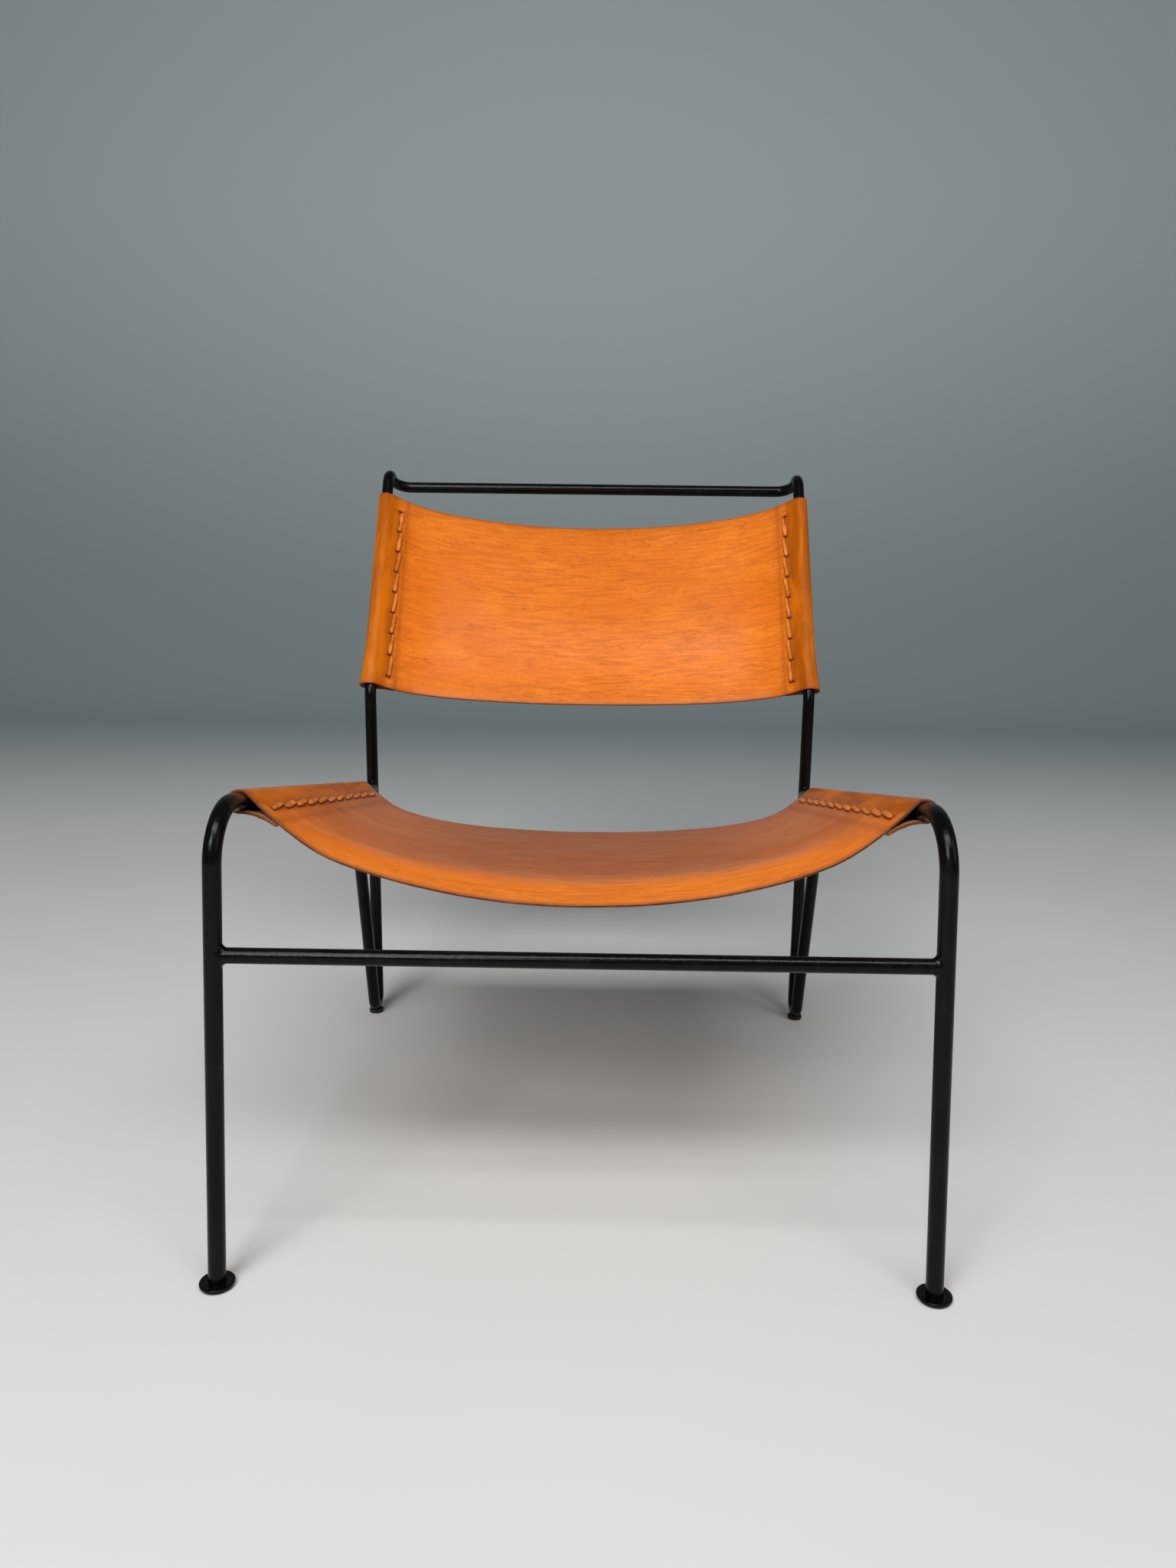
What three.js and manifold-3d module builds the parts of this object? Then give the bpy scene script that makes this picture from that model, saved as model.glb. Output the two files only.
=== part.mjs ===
// Leather sling lounge chair: a welded frame of bent round steel bar carrying a seat sling and a back sling.
// Each sling is one piece of saddle leather, folded round the bars and laced to itself with a flat thong.
// Millimetres, +Z up, floor at Z = 0. The sitter faces -Y, and the chair is symmetrical about X = 0.

import * as THREE from 'three';
import { mergeVertices } from 'three/addons/utils/BufferGeometryUtils.js';
import Module from 'manifold-3d';

const wasm = await Module();
wasm.setup();

const degrees = THREE.MathUtils.degToRad;

// Round bar
const BAR_DIAMETER = 16;
const STRETCHER_DIAMETER = 14;
const FIT_GAP = 0.3;
const BAR_SIDES = 16;
const BEND_STEP = degrees(15);

// Side bars: front leg and seat rail
const FRAME_SPACING = 614;
const FRONT_SPLAY = 18;
const CORNER_HEIGHT = 448;
const SEAT_TILT = degrees(10.2);
const LEG_BEND_RADIUS = 45;
const STRETCHER_HEIGHT = 316;

// Back bars: brace, hairpin foot, upright and hooked top
const HAIRPIN_RADIUS = 14;
const BRACE_LEAD = 5;
const LEAN_HEIGHT = 470;
const BACK_LEAN = degrees(29.5);
const LEAN_BEND_RADIUS = 30;
const HOOK_BEND_RADIUS = 22;
const HOOK_FALL = degrees(25);
const HOOK_STRAIGHT = 3;
const TOP_BEND_RADIUS = 26;
const TOP_STUB = 4;

// Weld beads
const WELD_RADIUS = 1.7;
const WELD_SIDES = 6;
const WELD_STEPS = 18;

// Feet
const FOOT_DISC_DIAMETER = 32;
const FOOT_DISC_HEIGHT = 3;
const FOOT_PAD_DIAMETER = 28;
const FOOT_PAD_HEIGHT = 2;
const GLIDE_DIAMETER = 20;
const GLIDE_HEIGHT = 5.5;
const GLIDE_CRADLE = 1.5;
const FOOT_STEPS = 20;

// Leather common to both slings
const LEATHER = 3;
const LEAVE_ANGLE = degrees(48);
const ROW_INSET = 21;
const FLAP_ROW_SKEW = 3;
const FLAP_TIP_GAP = 0.6;
const WRAP_STEPS = 7;
const SLING_STATIONS = 2;
const SPAN_SHARES = [0.08, 0.19, 0.33, 0.5, 0.73, 1];
const STEEP_POWER = 8;

// Seat sling, measured along the rails from the end of the leg bend to the uprights' axes
const SEAT_FRONT_CLEAR = 20;
const SEAT_LENGTH = 518;
const SEAT_REAR_CLEAR = 66.5;
const SEAT_FRONT_SAG = 91;
const SEAT_REAR_SAG = 61;
const SEAT_FLAP_PAST_ROW = 14;
const SEAT_HOLES = 12;
const SEAT_FRONT_MARGIN = 18;
const SEAT_REAR_MARGIN = 36;
const NOTCH_EASE = 2.5;
const NOTCH_RISE = 2.5;

// Back sling, measured along the uprights from the end of the lean bend to the hooked top
const BACK_BOTTOM_CLEAR = 1;
const BACK_LENGTH = 307;
const BACK_TOP_CLEAR = 24;
const BACK_BOTTOM_SAG = 68;
const BACK_TOP_SAG = 91;
const BACK_FLAP_PAST_ROW = 10;
const BACK_HOLES = 9;
const BACK_TOP_MARGIN = 24;
const BACK_BOTTOM_MARGIN = 17;

// Laces
const THONG_WIDTH = 6.4;
const THONG_WAIST = 4.4;
const THONG_THICKNESS = 1.6;
const THONG_GAP = 0.5;
const STITCH_RISE = 0.9;
const STITCH_SHARES = [0.25, 0.75];
const FOLD_EASE = 0.1;
const SLIT_EASE = 0.9;
const LACE_TAIL = 9;

const barRadius = BAR_DIAMETER / 2;
const stretcherRadius = STRETCHER_DIAMETER / 2;
const railX = FRAME_SPACING / 2;
const footX = railX + FRONT_SPLAY;
const legBottom = FOOT_PAD_HEIGHT + FIT_GAP + FOOT_DISC_HEIGHT + FIT_GAP;
const sides = [['left', -1], ['right', 1]];

const vec = (x, y, z) => new THREE.Vector3(x, y, z);
const flat = (x, y) => new THREE.Vector2(x, y);
const onSide = (point, x) => vec(x, point.y, point.z);
const { lerp } = THREE.MathUtils;
const spaced = (count, from, to) => Array.from({ length: count }, (_, k) => lerp(from, to, k / (count - 1)));

// Materials
const lacquer = { color: 0x15120f, roughness: 0.42, metalness: 0.35 };
const rubber = { color: 0x191716, roughness: 0.8, metalness: 0 };
const saddleLeather = { color: 0xb8612a, roughness: 0.5, metalness: 0 };
const thongLeather = { color: 0xb5662f, roughness: 0.58, metalness: 0 };

const chair = new THREE.Group();

function addPiece(name, geometry, look) {
  const mesh = new THREE.Mesh(geometry, new THREE.MeshStandardMaterial(look));
  mesh.name = name;
  chair.add(mesh);
}

// Cutting one solid with others

function toSolid(geometry) {
  const bare = geometry.clone();
  bare.deleteAttribute('normal');
  bare.deleteAttribute('uv');
  const merged = mergeVertices(bare, 1e-4);
  return new wasm.Manifold(new wasm.Mesh({
    numProp: 3,
    vertProperties: new Float32Array(merged.attributes.position.array),
    triVerts: new Uint32Array(merged.index.array),
  }));
}

function toGeometry(solid) {
  const mesh = solid.getMesh();
  const geometry = new THREE.BufferGeometry();
  geometry.setAttribute('position', new THREE.BufferAttribute(mesh.vertProperties, 3));
  geometry.setIndex(new THREE.BufferAttribute(mesh.triVerts, 1));
  geometry.computeVertexNormals();
  return geometry;
}

function cut(geometry, tools) {
  return toGeometry(tools.reduce((solid, tool) => solid.subtract(toSolid(tool)), toSolid(geometry)));
}

// A skin over closed rings of equal count; the cap's triangles, in ring order, cover both ends
function loft(rings, cap) {
  const count = rings[0].length;
  const last = (rings.length - 1) * count;
  const points = rings.flat();
  const faces = cap.flatMap(([a, b, c]) => [[a, c, b], [last + a, last + b, last + c]]);
  for (let start = 0; start < last; start += count) {
    for (let k = 0; k < count; k += 1) {
      const a = start + k;
      const b = start + (k + 1) % count;
      faces.push([a, b, b + count], [a, b + count, a + count]);
    }
  }
  const volume = faces.reduce((sum, [a, b, c]) => sum + points[a].dot(points[b].clone().cross(points[c])), 0);
  const outward = volume > 0 ? faces : faces.map(([a, b, c]) => [a, c, b]);
  const geometry = new THREE.BufferGeometry().setFromPoints(points);
  geometry.setIndex(outward.flat());
  geometry.computeVertexNormals();
  return geometry;
}

// Bent bars

// A bar's axis as stations: the ends of its straight runs and points along its bends
class BarAxis extends THREE.Curve {
  constructor(points, tangents) {
    super();
    this.points = points;
    this.tangents = tangents;
  }

  getPointAt(u, target = vec(0, 0, 0)) {
    return target.copy(this.points[Math.round(u * (this.points.length - 1))]);
  }

  getTangentAt(u, target = vec(0, 0, 0)) {
    return target.copy(this.tangents[Math.round(u * (this.tangents.length - 1))]);
  }
}

const heading = (from, to) => to.clone().sub(from).normalize();
const bendSetback = (into, out, radius) => radius * Math.tan(into.angleTo(out) / 2);

// The axis through the given corners, each inner corner rounded to its own radius
function bentAxis(corners, radii) {
  const points = [corners[0].clone()];
  const tangents = [heading(corners[0], corners[1])];
  radii.forEach((radius, k) => {
    const into = heading(corners[k], corners[k + 1]);
    const out = heading(corners[k + 1], corners[k + 2]);
    const turn = into.angleTo(out);
    const axis = into.clone().cross(out).normalize();
    const start = corners[k + 1].clone().addScaledVector(into, -bendSetback(into, out, radius));
    const spoke = into.clone().cross(axis).multiplyScalar(radius);
    const centre = start.clone().sub(spoke);
    const steps = Math.ceil(turn / BEND_STEP);
    for (let step = 0; step <= steps; step += 1) {
      const angle = turn * step / steps;
      points.push(spoke.clone().applyAxisAngle(axis, angle).add(centre));
      tangents.push(into.clone().applyAxisAngle(axis, angle));
    }
  });
  points.push(corners.at(-1).clone());
  tangents.push(heading(corners.at(-2), corners.at(-1)));
  return new BarAxis(points, tangents);
}

function bar(axis, radius) {
  const rim = Array.from({ length: BAR_SIDES }, (_, k) => {
    const angle = 2 * Math.PI * k / BAR_SIDES;
    return flat(radius * Math.cos(angle), radius * Math.sin(angle));
  });
  return new THREE.ExtrudeGeometry(new THREE.Shape(rim), {
    steps: axis.points.length - 1,
    extrudePath: axis,
    bevelEnabled: false,
  });
}

const straightBar = (from, to, radius) => bar(bentAxis([from, to], []), radius);
const looseRadius = barRadius + FIT_GAP;

// Directions and places in the side view, on the plane X = 0

const railAlong = vec(0, Math.cos(SEAT_TILT), -Math.sin(SEAT_TILT));
const railUp = vec(0, Math.sin(SEAT_TILT), Math.cos(SEAT_TILT));
const uprightAlong = vec(0, Math.sin(BACK_LEAN), Math.cos(BACK_LEAN));
const uprightFront = vec(0, -Math.cos(BACK_LEAN), Math.sin(BACK_LEAN));
const hookAlong = vec(0, Math.cos(HOOK_FALL), -Math.sin(HOOK_FALL));
const plumb = vec(0, 0, 1);
const legAlong = (side) => vec(-side * FRONT_SPLAY, 0, CORNER_HEIGHT - legBottom).normalize();

// The rail is as long as the seat sling and the bare stretches before and behind it
const seatCorner = vec(0, 0, CORNER_HEIGHT);
const onRail = (distance) => seatCorner.clone().addScaledVector(railAlong, distance);
const seatFront = bendSetback(legAlong(1), railAlong, LEG_BEND_RADIUS) + SEAT_FRONT_CLEAR;
const railEnd = onRail(seatFront + SEAT_LENGTH + SEAT_REAR_CLEAR);

// The brace meets the rail between the last two slits of the seat sling
const seatHoles = spaced(SEAT_HOLES, SEAT_FRONT_MARGIN, SEAT_LENGTH - SEAT_REAR_MARGIN);
const braceAt = seatFront + (seatHoles.at(-2) + seatHoles.at(-1)) / 2 - BRACE_LEAD;
const braceTop = onRail(braceAt);

// The hairpin hangs under the upright, its lowest point sunk into the glide
const hairpinBottom = GLIDE_HEIGHT - GLIDE_CRADLE + FIT_GAP + barRadius;
const hairpinCentre = vec(0, railEnd.y - HAIRPIN_RADIUS, hairpinBottom + HAIRPIN_RADIUS);

// The brace leaves the hairpin's bend in a straight line to the rail
const braceRun = braceTop.clone().sub(hairpinCentre);
const bendShare = Math.asin(HAIRPIN_RADIUS / braceRun.length());
const braceAngle = Math.atan2(-braceRun.y, braceRun.z) - bendShare;
const braceAlong = vec(0, -Math.sin(braceAngle), Math.cos(braceAngle));
const hairpinDepth = HAIRPIN_RADIUS / Math.tan(braceAngle / 2);
const hairpinCorner = vec(0, railEnd.y, hairpinCentre.z - hairpinDepth);

// The upright is as long as the back sling and the bare stretches under and over it
const leanCorner = vec(0, railEnd.y, LEAN_HEIGHT);
const backBottom = bendSetback(plumb, uprightAlong, LEAN_BEND_RADIUS) + BACK_BOTTOM_CLEAR;
const uprightReach = backBottom + BACK_LENGTH + BACK_TOP_CLEAR;
const hookSetback = bendSetback(uprightAlong, hookAlong, HOOK_BEND_RADIUS);
const hookCorner = leanCorner.clone().addScaledVector(uprightAlong, uprightReach + hookSetback);
const hookRun = hookSetback + HOOK_STRAIGHT + TOP_BEND_RADIUS;
const topCorner = hookCorner.clone().addScaledVector(hookAlong, hookRun);
const hookEnd = railX - TOP_BEND_RADIUS - TOP_STUB;

// The leg's foot end is cut level; the rail stops just short of the upright's axis, where it is coped
function sideAxis(side) {
  const axis = bentAxis([
    vec(side * footX, 0, legBottom),
    onSide(seatCorner, side * railX),
    onSide(railEnd.clone().addScaledVector(railAlong, -barRadius / 2), side * railX),
  ], [LEG_BEND_RADIUS]);
  axis.tangents[0].copy(plumb);
  return axis;
}

function backAxis(side) {
  return bentAxis([
    onSide(braceTop.clone().addScaledVector(braceAlong, -barRadius / 2), side * railX),
    onSide(hairpinCorner, side * railX),
    onSide(leanCorner, side * railX),
    onSide(hookCorner, side * railX),
    onSide(topCorner, side * railX),
    onSide(topCorner, side * hookEnd),
  ], [HAIRPIN_RADIUS, LEAN_BEND_RADIUS, HOOK_BEND_RADIUS, TOP_BEND_RADIUS]);
}

// A bead of weld round a branch bar where it meets a main bar: a ring bent to follow the main bar's surface
function weldBead(joint, branchAlong, mainAlong, branchRadius, cutters) {
  const cosine = branchAlong.dot(mainAlong);
  const sine = Math.sqrt(1 - cosine * cosine);
  const inPlane = mainAlong.clone().addScaledVector(branchAlong, -cosine).normalize();
  const across = inPlane.clone().cross(branchAlong);
  const ringRadius = branchRadius + FIT_GAP;
  const ring = new THREE.TorusGeometry(ringRadius, WELD_RADIUS, WELD_SIDES, WELD_STEPS);
  const position = ring.attributes.position;
  for (let k = 0; k < position.count; k += 1) {
    const angle = Math.atan2(position.getY(k), position.getX(k));
    const level = Math.sqrt(Math.max(0, looseRadius ** 2 - (ringRadius * Math.cos(angle)) ** 2));
    const reach = (level + ringRadius * Math.sin(angle) * cosine) / sine;
    position.setZ(k, position.getZ(k) + reach);
  }
  ring.applyMatrix4(new THREE.Matrix4().makeBasis(across, inPlane, branchAlong).setPosition(joint));
  return cut(ring, cutters);
}

// A turned disc standing on the given height, its two rims rounded
function roundDisc(diameter, bottom, height, edge) {
  const rim = diameter / 2 - edge;
  const top = bottom + height;
  const profile = new THREE.Path();
  profile.moveTo(0, bottom);
  profile.lineTo(rim, bottom);
  profile.absarc(rim, bottom + edge, edge, -Math.PI / 2, 0, false);
  profile.absarc(rim, top - edge, edge, 0, Math.PI / 2, false);
  profile.lineTo(0, top);
  return new THREE.LatheGeometry(profile.getPoints(1), FOOT_STEPS).rotateX(Math.PI / 2);
}

// Frame

const looseSides = sides.map(([, side]) => bar(sideAxis(side), looseRadius));
const legRise = (STRETCHER_HEIGHT - legBottom) / (CORNER_HEIGHT - legBottom);
const stretcherX = footX - FRONT_SPLAY * legRise;
const stretcherEnds = [vec(-stretcherX, 0, STRETCHER_HEIGHT), vec(stretcherX, 0, STRETCHER_HEIGHT)];
const looseStretcher = straightBar(...stretcherEnds, stretcherRadius + FIT_GAP);
const copeReach = 2 * BAR_DIAMETER;

sides.forEach(([label, side], k) => {
  const looseSide = looseSides[k];
  const looseBack = bar(backAxis(side), looseRadius);

  // The rail's end is coped to the upright, and the brace's end to the rail
  const near = (joint, along) => [-copeReach, copeReach].map((distance) => (
    onSide(joint.clone().addScaledVector(along, distance), side * railX)
  ));
  const looseRail = straightBar(...near(braceTop, railAlong), looseRadius);
  const looseUpright = straightBar(...near(railEnd, plumb), looseRadius);
  addPiece(`side_bar_${label}`, cut(bar(sideAxis(side), barRadius), [looseUpright]), lacquer);
  addPiece(`back_bar_${label}`, cut(bar(backAxis(side), barRadius), [looseRail]), lacquer);

  const frame = [looseSide, looseBack];
  const railJoint = onSide(railEnd, side * railX);
  const railWeld = weldBead(railJoint, railAlong.clone().negate(), plumb, barRadius, frame);
  addPiece(`rail_weld_${label}`, railWeld, lacquer);
  const braceJoint = onSide(braceTop, side * railX);
  const braceWeld = weldBead(braceJoint, braceAlong.clone().negate(), railAlong, barRadius, frame);
  addPiece(`brace_weld_${label}`, braceWeld, lacquer);
  const inward = vec(-side, 0, 0);
  const leg = [looseSide, looseStretcher];
  const stretcherWeld = weldBead(stretcherEnds[k], inward, legAlong(side), stretcherRadius, leg);
  addPiece(`stretcher_weld_${label}`, stretcherWeld, lacquer);

  const discBottom = FOOT_PAD_HEIGHT + FIT_GAP;
  const disc = roundDisc(FOOT_DISC_DIAMETER, discBottom, FOOT_DISC_HEIGHT, FOOT_DISC_HEIGHT / 3);
  addPiece(`foot_disc_${label}`, disc.translate(side * footX, 0, 0), lacquer);
  const pad = roundDisc(FOOT_PAD_DIAMETER, 0, FOOT_PAD_HEIGHT, FOOT_PAD_HEIGHT / 4);
  addPiece(`foot_pad_${label}`, pad.translate(side * footX, 0, 0), rubber);
  const glide = roundDisc(GLIDE_DIAMETER, 0, GLIDE_HEIGHT, GLIDE_HEIGHT / 6);
  glide.translate(side * railX, hairpinCentre.y, 0);
  addPiece(`rear_glide_${label}`, cut(glide, [looseBack]), rubber);
});

addPiece('front_stretcher', cut(straightBar(...stretcherEnds, stretcherRadius), looseSides), lacquer);
const topRailEnds = sides.map(([, side]) => onSide(topCorner, side * (hookEnd - FIT_GAP)));
addPiece('top_rail', straightBar(...topRailEnds, barRadius), lacquer);

// Leather slings
// A section is drawn square to a bar, as x inward from the bar's axis and h out to the sitter's side.
// Its middle line runs from the flap's tip, round the bar, over the crown and down to mid-span.

const wrapTurn = Math.PI + LEAVE_ANGLE;
const wrapRadius = (looseRadius + LEATHER / 2) / Math.cos(wrapTurn / WRAP_STEPS / 2);
const thongOffset = (THONG_WAIST + THONG_GAP) / 2;
const slitHalf = thongOffset + THONG_WAIST / 2 + SLIT_EASE;
const rowHalf = slitHalf + LEATHER / 2;

// The hanging curve: steep where it leaves the bar, easing into a shallow bowl that is level at mid-span
function hang(sag) {
  const startX = wrapRadius * Math.sin(LEAVE_ANGLE);
  const startH = wrapRadius * Math.cos(LEAVE_ANGLE);
  const span = railX - startX;
  const bowl = (STEEP_POWER - Math.tan(LEAVE_ANGLE) * span / sag) / (STEEP_POWER - 2);
  const left = (x) => 1 - (x - startX) / span;
  const fall = (v) => bowl * (1 - v ** 2) + (1 - bowl) * (1 - v ** STEEP_POWER);
  const steepness = (v) => bowl * 2 * v + (1 - bowl) * STEEP_POWER * v ** (STEEP_POWER - 1);
  return {
    at: (x) => flat(x, startH - sag * fall(left(x))),
    slope: (x) => -sag / span * steepness(left(x)),
  };
}

// The flap: out from under the bar, bending to lie along the underside of the hanging layer
function flapCurve(top, tipX) {
  const slope = top.slope(tipX);
  const down = flat(slope, -1).normalize();
  const tip = top.at(tipX).addScaledVector(down, LEATHER + FLAP_TIP_GAP);
  const bend = flat(tip.x - (wrapRadius + tip.y) / slope, -wrapRadius);
  const curve = new THREE.QuadraticBezierCurve(flat(0, -wrapRadius), bend, tip);
  const spread = tip.x - 2 * bend.x;
  const atX = (x) => curve.getPoint(x / (bend.x + Math.sqrt(bend.x ** 2 + spread * x)));
  return { tip, atX, slope };
}

function halfSection(sag, flapPastRow) {
  const top = hang(sag);
  const topHalf = rowHalf * Math.cos(Math.atan(top.slope(ROW_INSET)));
  const rowTop = [top.at(ROW_INSET - topHalf), top.at(ROW_INSET + topHalf)];
  const flap = flapCurve(top, ROW_INSET + flapPastRow);
  const flapRow = ROW_INSET - FLAP_ROW_SKEW;
  const rowFlap = [flap.atX(flapRow - rowHalf), flap.atX(flapRow + rowHalf)];

  const line = [flap.tip, rowFlap[1], rowFlap[0], flap.atX(rowFlap[0].x / 2)];
  for (let step = 0; step <= WRAP_STEPS; step += 1) {
    const angle = wrapTurn * step / WRAP_STEPS - Math.PI;
    line.push(flat(wrapRadius * Math.sin(angle), wrapRadius * Math.cos(angle)));
  }
  line.push(...rowTop);
  SPAN_SHARES.forEach((share) => line.push(top.at(lerp(rowTop[1].x, railX, share))));
  return { line, rowTop, rowFlap, flap };
}

// The leather's outer and inner face about its middle line
function thicken(line) {
  const normal = (k) => flat(line[k].y - line[k + 1].y, line[k + 1].x - line[k].x).normalize();
  const final = line.length - 1;
  const face = (reach) => line.map((point, k) => {
    const before = normal(Math.max(0, k - 1));
    const mitre = before.clone().add(normal(Math.min(final - 1, k))).normalize();
    if (k === final) mitre.set(0, 1);
    return point.clone().addScaledVector(mitre, reach / mitre.dot(before));
  });
  return { outer: face(LEATHER / 2), inner: face(-LEATHER / 2) };
}

// A sling between two bars: its section is blended in straight lines from its first edge to its second
class Sling {
  constructor({ origin, along, out, length, sags, flapPastRow }) {
    Object.assign(this, { origin, along, out, length });
    this.sections = sags.map((sag) => halfSection(sag, flapPastRow));
  }

  // Where a point of the section lies, at a distance from the first edge
  place(point, distance, side) {
    const spot = this.origin.clone().addScaledVector(this.along, distance).addScaledVector(this.out, point.y);
    return onSide(spot, side * (railX - point.x));
  }

  // A list of points picked from both edges' sections, blended for a distance between them
  blend(pick, distance) {
    const [first, second] = this.sections.map(pick);
    return first.map((point, k) => point.clone().lerp(second[k], distance / this.length));
  }

  body() {
    const ring = (distance) => {
      const { outer, inner } = thicken(this.blend((section) => section.line, distance));
      const across = (points) => [
        ...points.map((point) => this.place(point, distance, -1)),
        ...points.slice(0, -1).reverse().map((point) => this.place(point, distance, 1)),
      ];
      return [...across(outer), ...across(inner).reverse()];
    };
    const stations = Array.from({ length: SLING_STATIONS + 1 }, (_, k) => this.length * k / SLING_STATIONS);
    const rings = stations.map(ring);
    const last = rings[0].length - 1;
    const cap = [];
    for (let k = 0; 2 * k + 1 < last; k += 1) {
      cap.push([k, k + 1, last - k - 1], [k, last - k - 1, last - k]);
    }
    return loft(rings, cap);
  }

  // Where a slit pierces the two layers: their middles, their inward directions and the way through
  pierce(distance, side) {
    const layer = (name) => {
      const [a, b] = this.blend((section) => section[name], distance);
      const [outboard, inboard] = [a, b].map((point) => this.place(point, distance, side));
      return { centre: outboard.clone().lerp(inboard, 0.5), inward: heading(outboard, inboard) };
    };
    const top = layer('rowTop');
    const flap = layer('rowFlap');
    return { top, flap, through: heading(flap.centre, top.centre) };
  }

  slit(distance, side) {
    const { top, flap, through } = this.pierce(distance, side);
    const wide = through.clone().cross(this.along).normalize();
    const slot = new THREE.BoxGeometry(
      2 * slitHalf,
      THONG_THICKNESS + 2 * FIT_GAP,
      top.centre.distanceTo(flap.centre) + 3 * LEATHER,
    );
    const basis = new THREE.Matrix4().makeBasis(wide, this.along, wide.clone().cross(this.along));
    return slot.applyMatrix4(basis.setPosition(top.centre.clone().lerp(flap.centre, 0.5)));
  }

  // A notch that lets a bar reach the rail: it takes the flap and the underside of the fold
  notch(from, to, side) {
    const lift = (LEATHER + FLAP_TIP_GAP) / 2;
    const flapTop = ({ flap, rowFlap }) => {
      const up = flat(-flap.slope, 1).normalize().multiplyScalar(lift);
      const past = flat(1, flap.slope).normalize().multiplyScalar(2 * LEATHER);
      const tip = flap.tip.clone().add(up);
      return [tip.clone().add(past), tip, rowFlap[1].clone().add(up), rowFlap[0].clone().add(flat(0, lift))];
    };
    const ceiling = this.blend(flapTop, (from + to) / 2);
    const outboard = -wrapRadius - LEATHER;
    const below = ceiling[0].y - 4 * LEATHER;
    const outline = [
      flat(outboard, NOTCH_RISE),
      flat(outboard, below),
      flat(ceiling[0].x, below),
      ...ceiling,
      flat(0, NOTCH_RISE),
    ];
    const cap = THREE.ShapeUtils.triangulateShape(outline, []);
    return loft([from, to].map((distance) => outline.map((point) => this.place(point, distance, side))), cap);
  }
}

// A lace runs down its row in and out of the slits, then back through the same slits beside itself,
// so that every gap between two slits shows one stitch on either face. Both tails end behind the first slit.
function lace(sling, holes, side) {
  const pierced = holes.map((distance) => sling.pierce(distance, side));
  const last = holes.length - 1;
  const down = sling.along.clone().multiplyScalar(Math.sign(holes[1] - holes[0]));
  const half = THONG_THICKNESS / 2;
  const fold = half + FOLD_EASE;
  const level = LEATHER / 2 + FIT_GAP + half;
  const rings = [];
  const outOf = (name) => (name === 'top' ? 1 : -1);

  // One face of the leather at a slit: where the strap's middle lies there and its way out of the leather
  const face = (name, hole) => {
    const { through, top, flap } = pierced[hole];
    const { centre, inward } = name === 'top' ? top : flap;
    const out = down.clone().cross(inward).normalize();
    if (out.dot(through) < 0) out.negate();
    const seat = centre.clone().addScaledVector(out, outOf(name) * level);
    return { seat, inward, out };
  };
  const strap = (middle, wide, thick, width) => {
    const w = wide.clone().multiplyScalar(width / 2);
    const t = thick.clone().multiplyScalar(half);
    rings.push([[-1, -1], [1, -1], [1, 1], [-1, 1]].map(([a, b]) => (
      middle.clone().addScaledVector(w, a).addScaledVector(t, b)
    )));
  };

  // Which half of the slit a stitch end takes, so that the two passes lie side by side
  const offset = (name, hole, other) => {
    if (hole === last) return 0;
    return (name === 'top') === (hole < other) ? thongOffset : -thongOffset;
  };
  // The strap lying on a face, a little before or past a slit
  const lying = (name, hole, other, shift, travel) => {
    const { seat, inward, out } = face(name, hole);
    const middle = seat.clone().addScaledVector(inward, offset(name, hole, other));
    middle.addScaledVector(down, shift);
    strap(middle, inward, out.clone().multiplyScalar(travel), THONG_WAIST);
  };
  // The strap standing in a slit, just under a face; it is going down through the leather or coming up
  const standing = (name, hole, other, sinking) => {
    const { seat, inward, out } = face(name, hole);
    const middle = seat.clone().addScaledVector(inward, offset(name, hole, other));
    middle.addScaledVector(out, -outOf(name) * fold);
    strap(middle, inward, down.clone().multiplyScalar(sinking ? 1 : -1), THONG_WAIST);
  };
  // The body of a stitch, raised off the leather and at its full width
  const bodyOf = (name, from, to, travel) => {
    const [a, b] = [face(name, from), face(name, to)];
    const ends = [a.seat.clone().addScaledVector(a.inward, offset(name, from, to))];
    ends.push(b.seat.clone().addScaledVector(b.inward, offset(name, to, from)));
    for (const share of STITCH_SHARES) {
      const middle = ends[0].clone().lerp(ends[1], share).addScaledVector(a.out, outOf(name) * STITCH_RISE);
      strap(middle, a.inward, a.out.clone().multiplyScalar(travel), THONG_WIDTH);
    }
  };

  lying('flap', 0, -1, -LACE_TAIL, 1);
  lying('flap', 0, -1, -fold, 1);
  standing('flap', 0, -1, false);
  const route = Array.from({ length: 2 * last + 1 }, (_, k) => last - Math.abs(last - k));
  let name = 'top';
  for (let k = 0; k + 1 < route.length; k += 1) {
    const [from, to] = [route[k], route[k + 1]];
    const travel = Math.sign(to - from);
    standing(name, from, to, name === 'flap');
    lying(name, from, to, travel * fold, travel);
    bodyOf(name, from, to, travel);
    if (k + 2 < route.length) {
      lying(name, to, from, -travel * fold, travel);
      standing(name, to, from, name === 'top');
    }
    name = name === 'top' ? 'flap' : 'top';
  }
  lying('flap', 0, 1, 0, -1);
  lying('flap', 0, 1, -LACE_TAIL, -1);
  return loft(rings, [[0, 1, 2], [0, 2, 3]]);
}

function addSling(name, sling, holes, notches) {
  const slits = sides.flatMap(([, side]) => holes.map((distance) => sling.slit(distance, side)));
  addPiece(`${name}_sling`, cut(sling.body(), [...slits, ...notches]), saddleLeather);
  sides.forEach(([label, side]) => addPiece(`${name}_lace_${label}`, lace(sling, holes, side), thongLeather));
}

const seat = new Sling({
  origin: onRail(seatFront),
  along: railAlong,
  out: railUp,
  length: SEAT_LENGTH,
  sags: [SEAT_FRONT_SAG, SEAT_REAR_SAG],
  flapPastRow: SEAT_FLAP_PAST_ROW,
});

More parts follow.
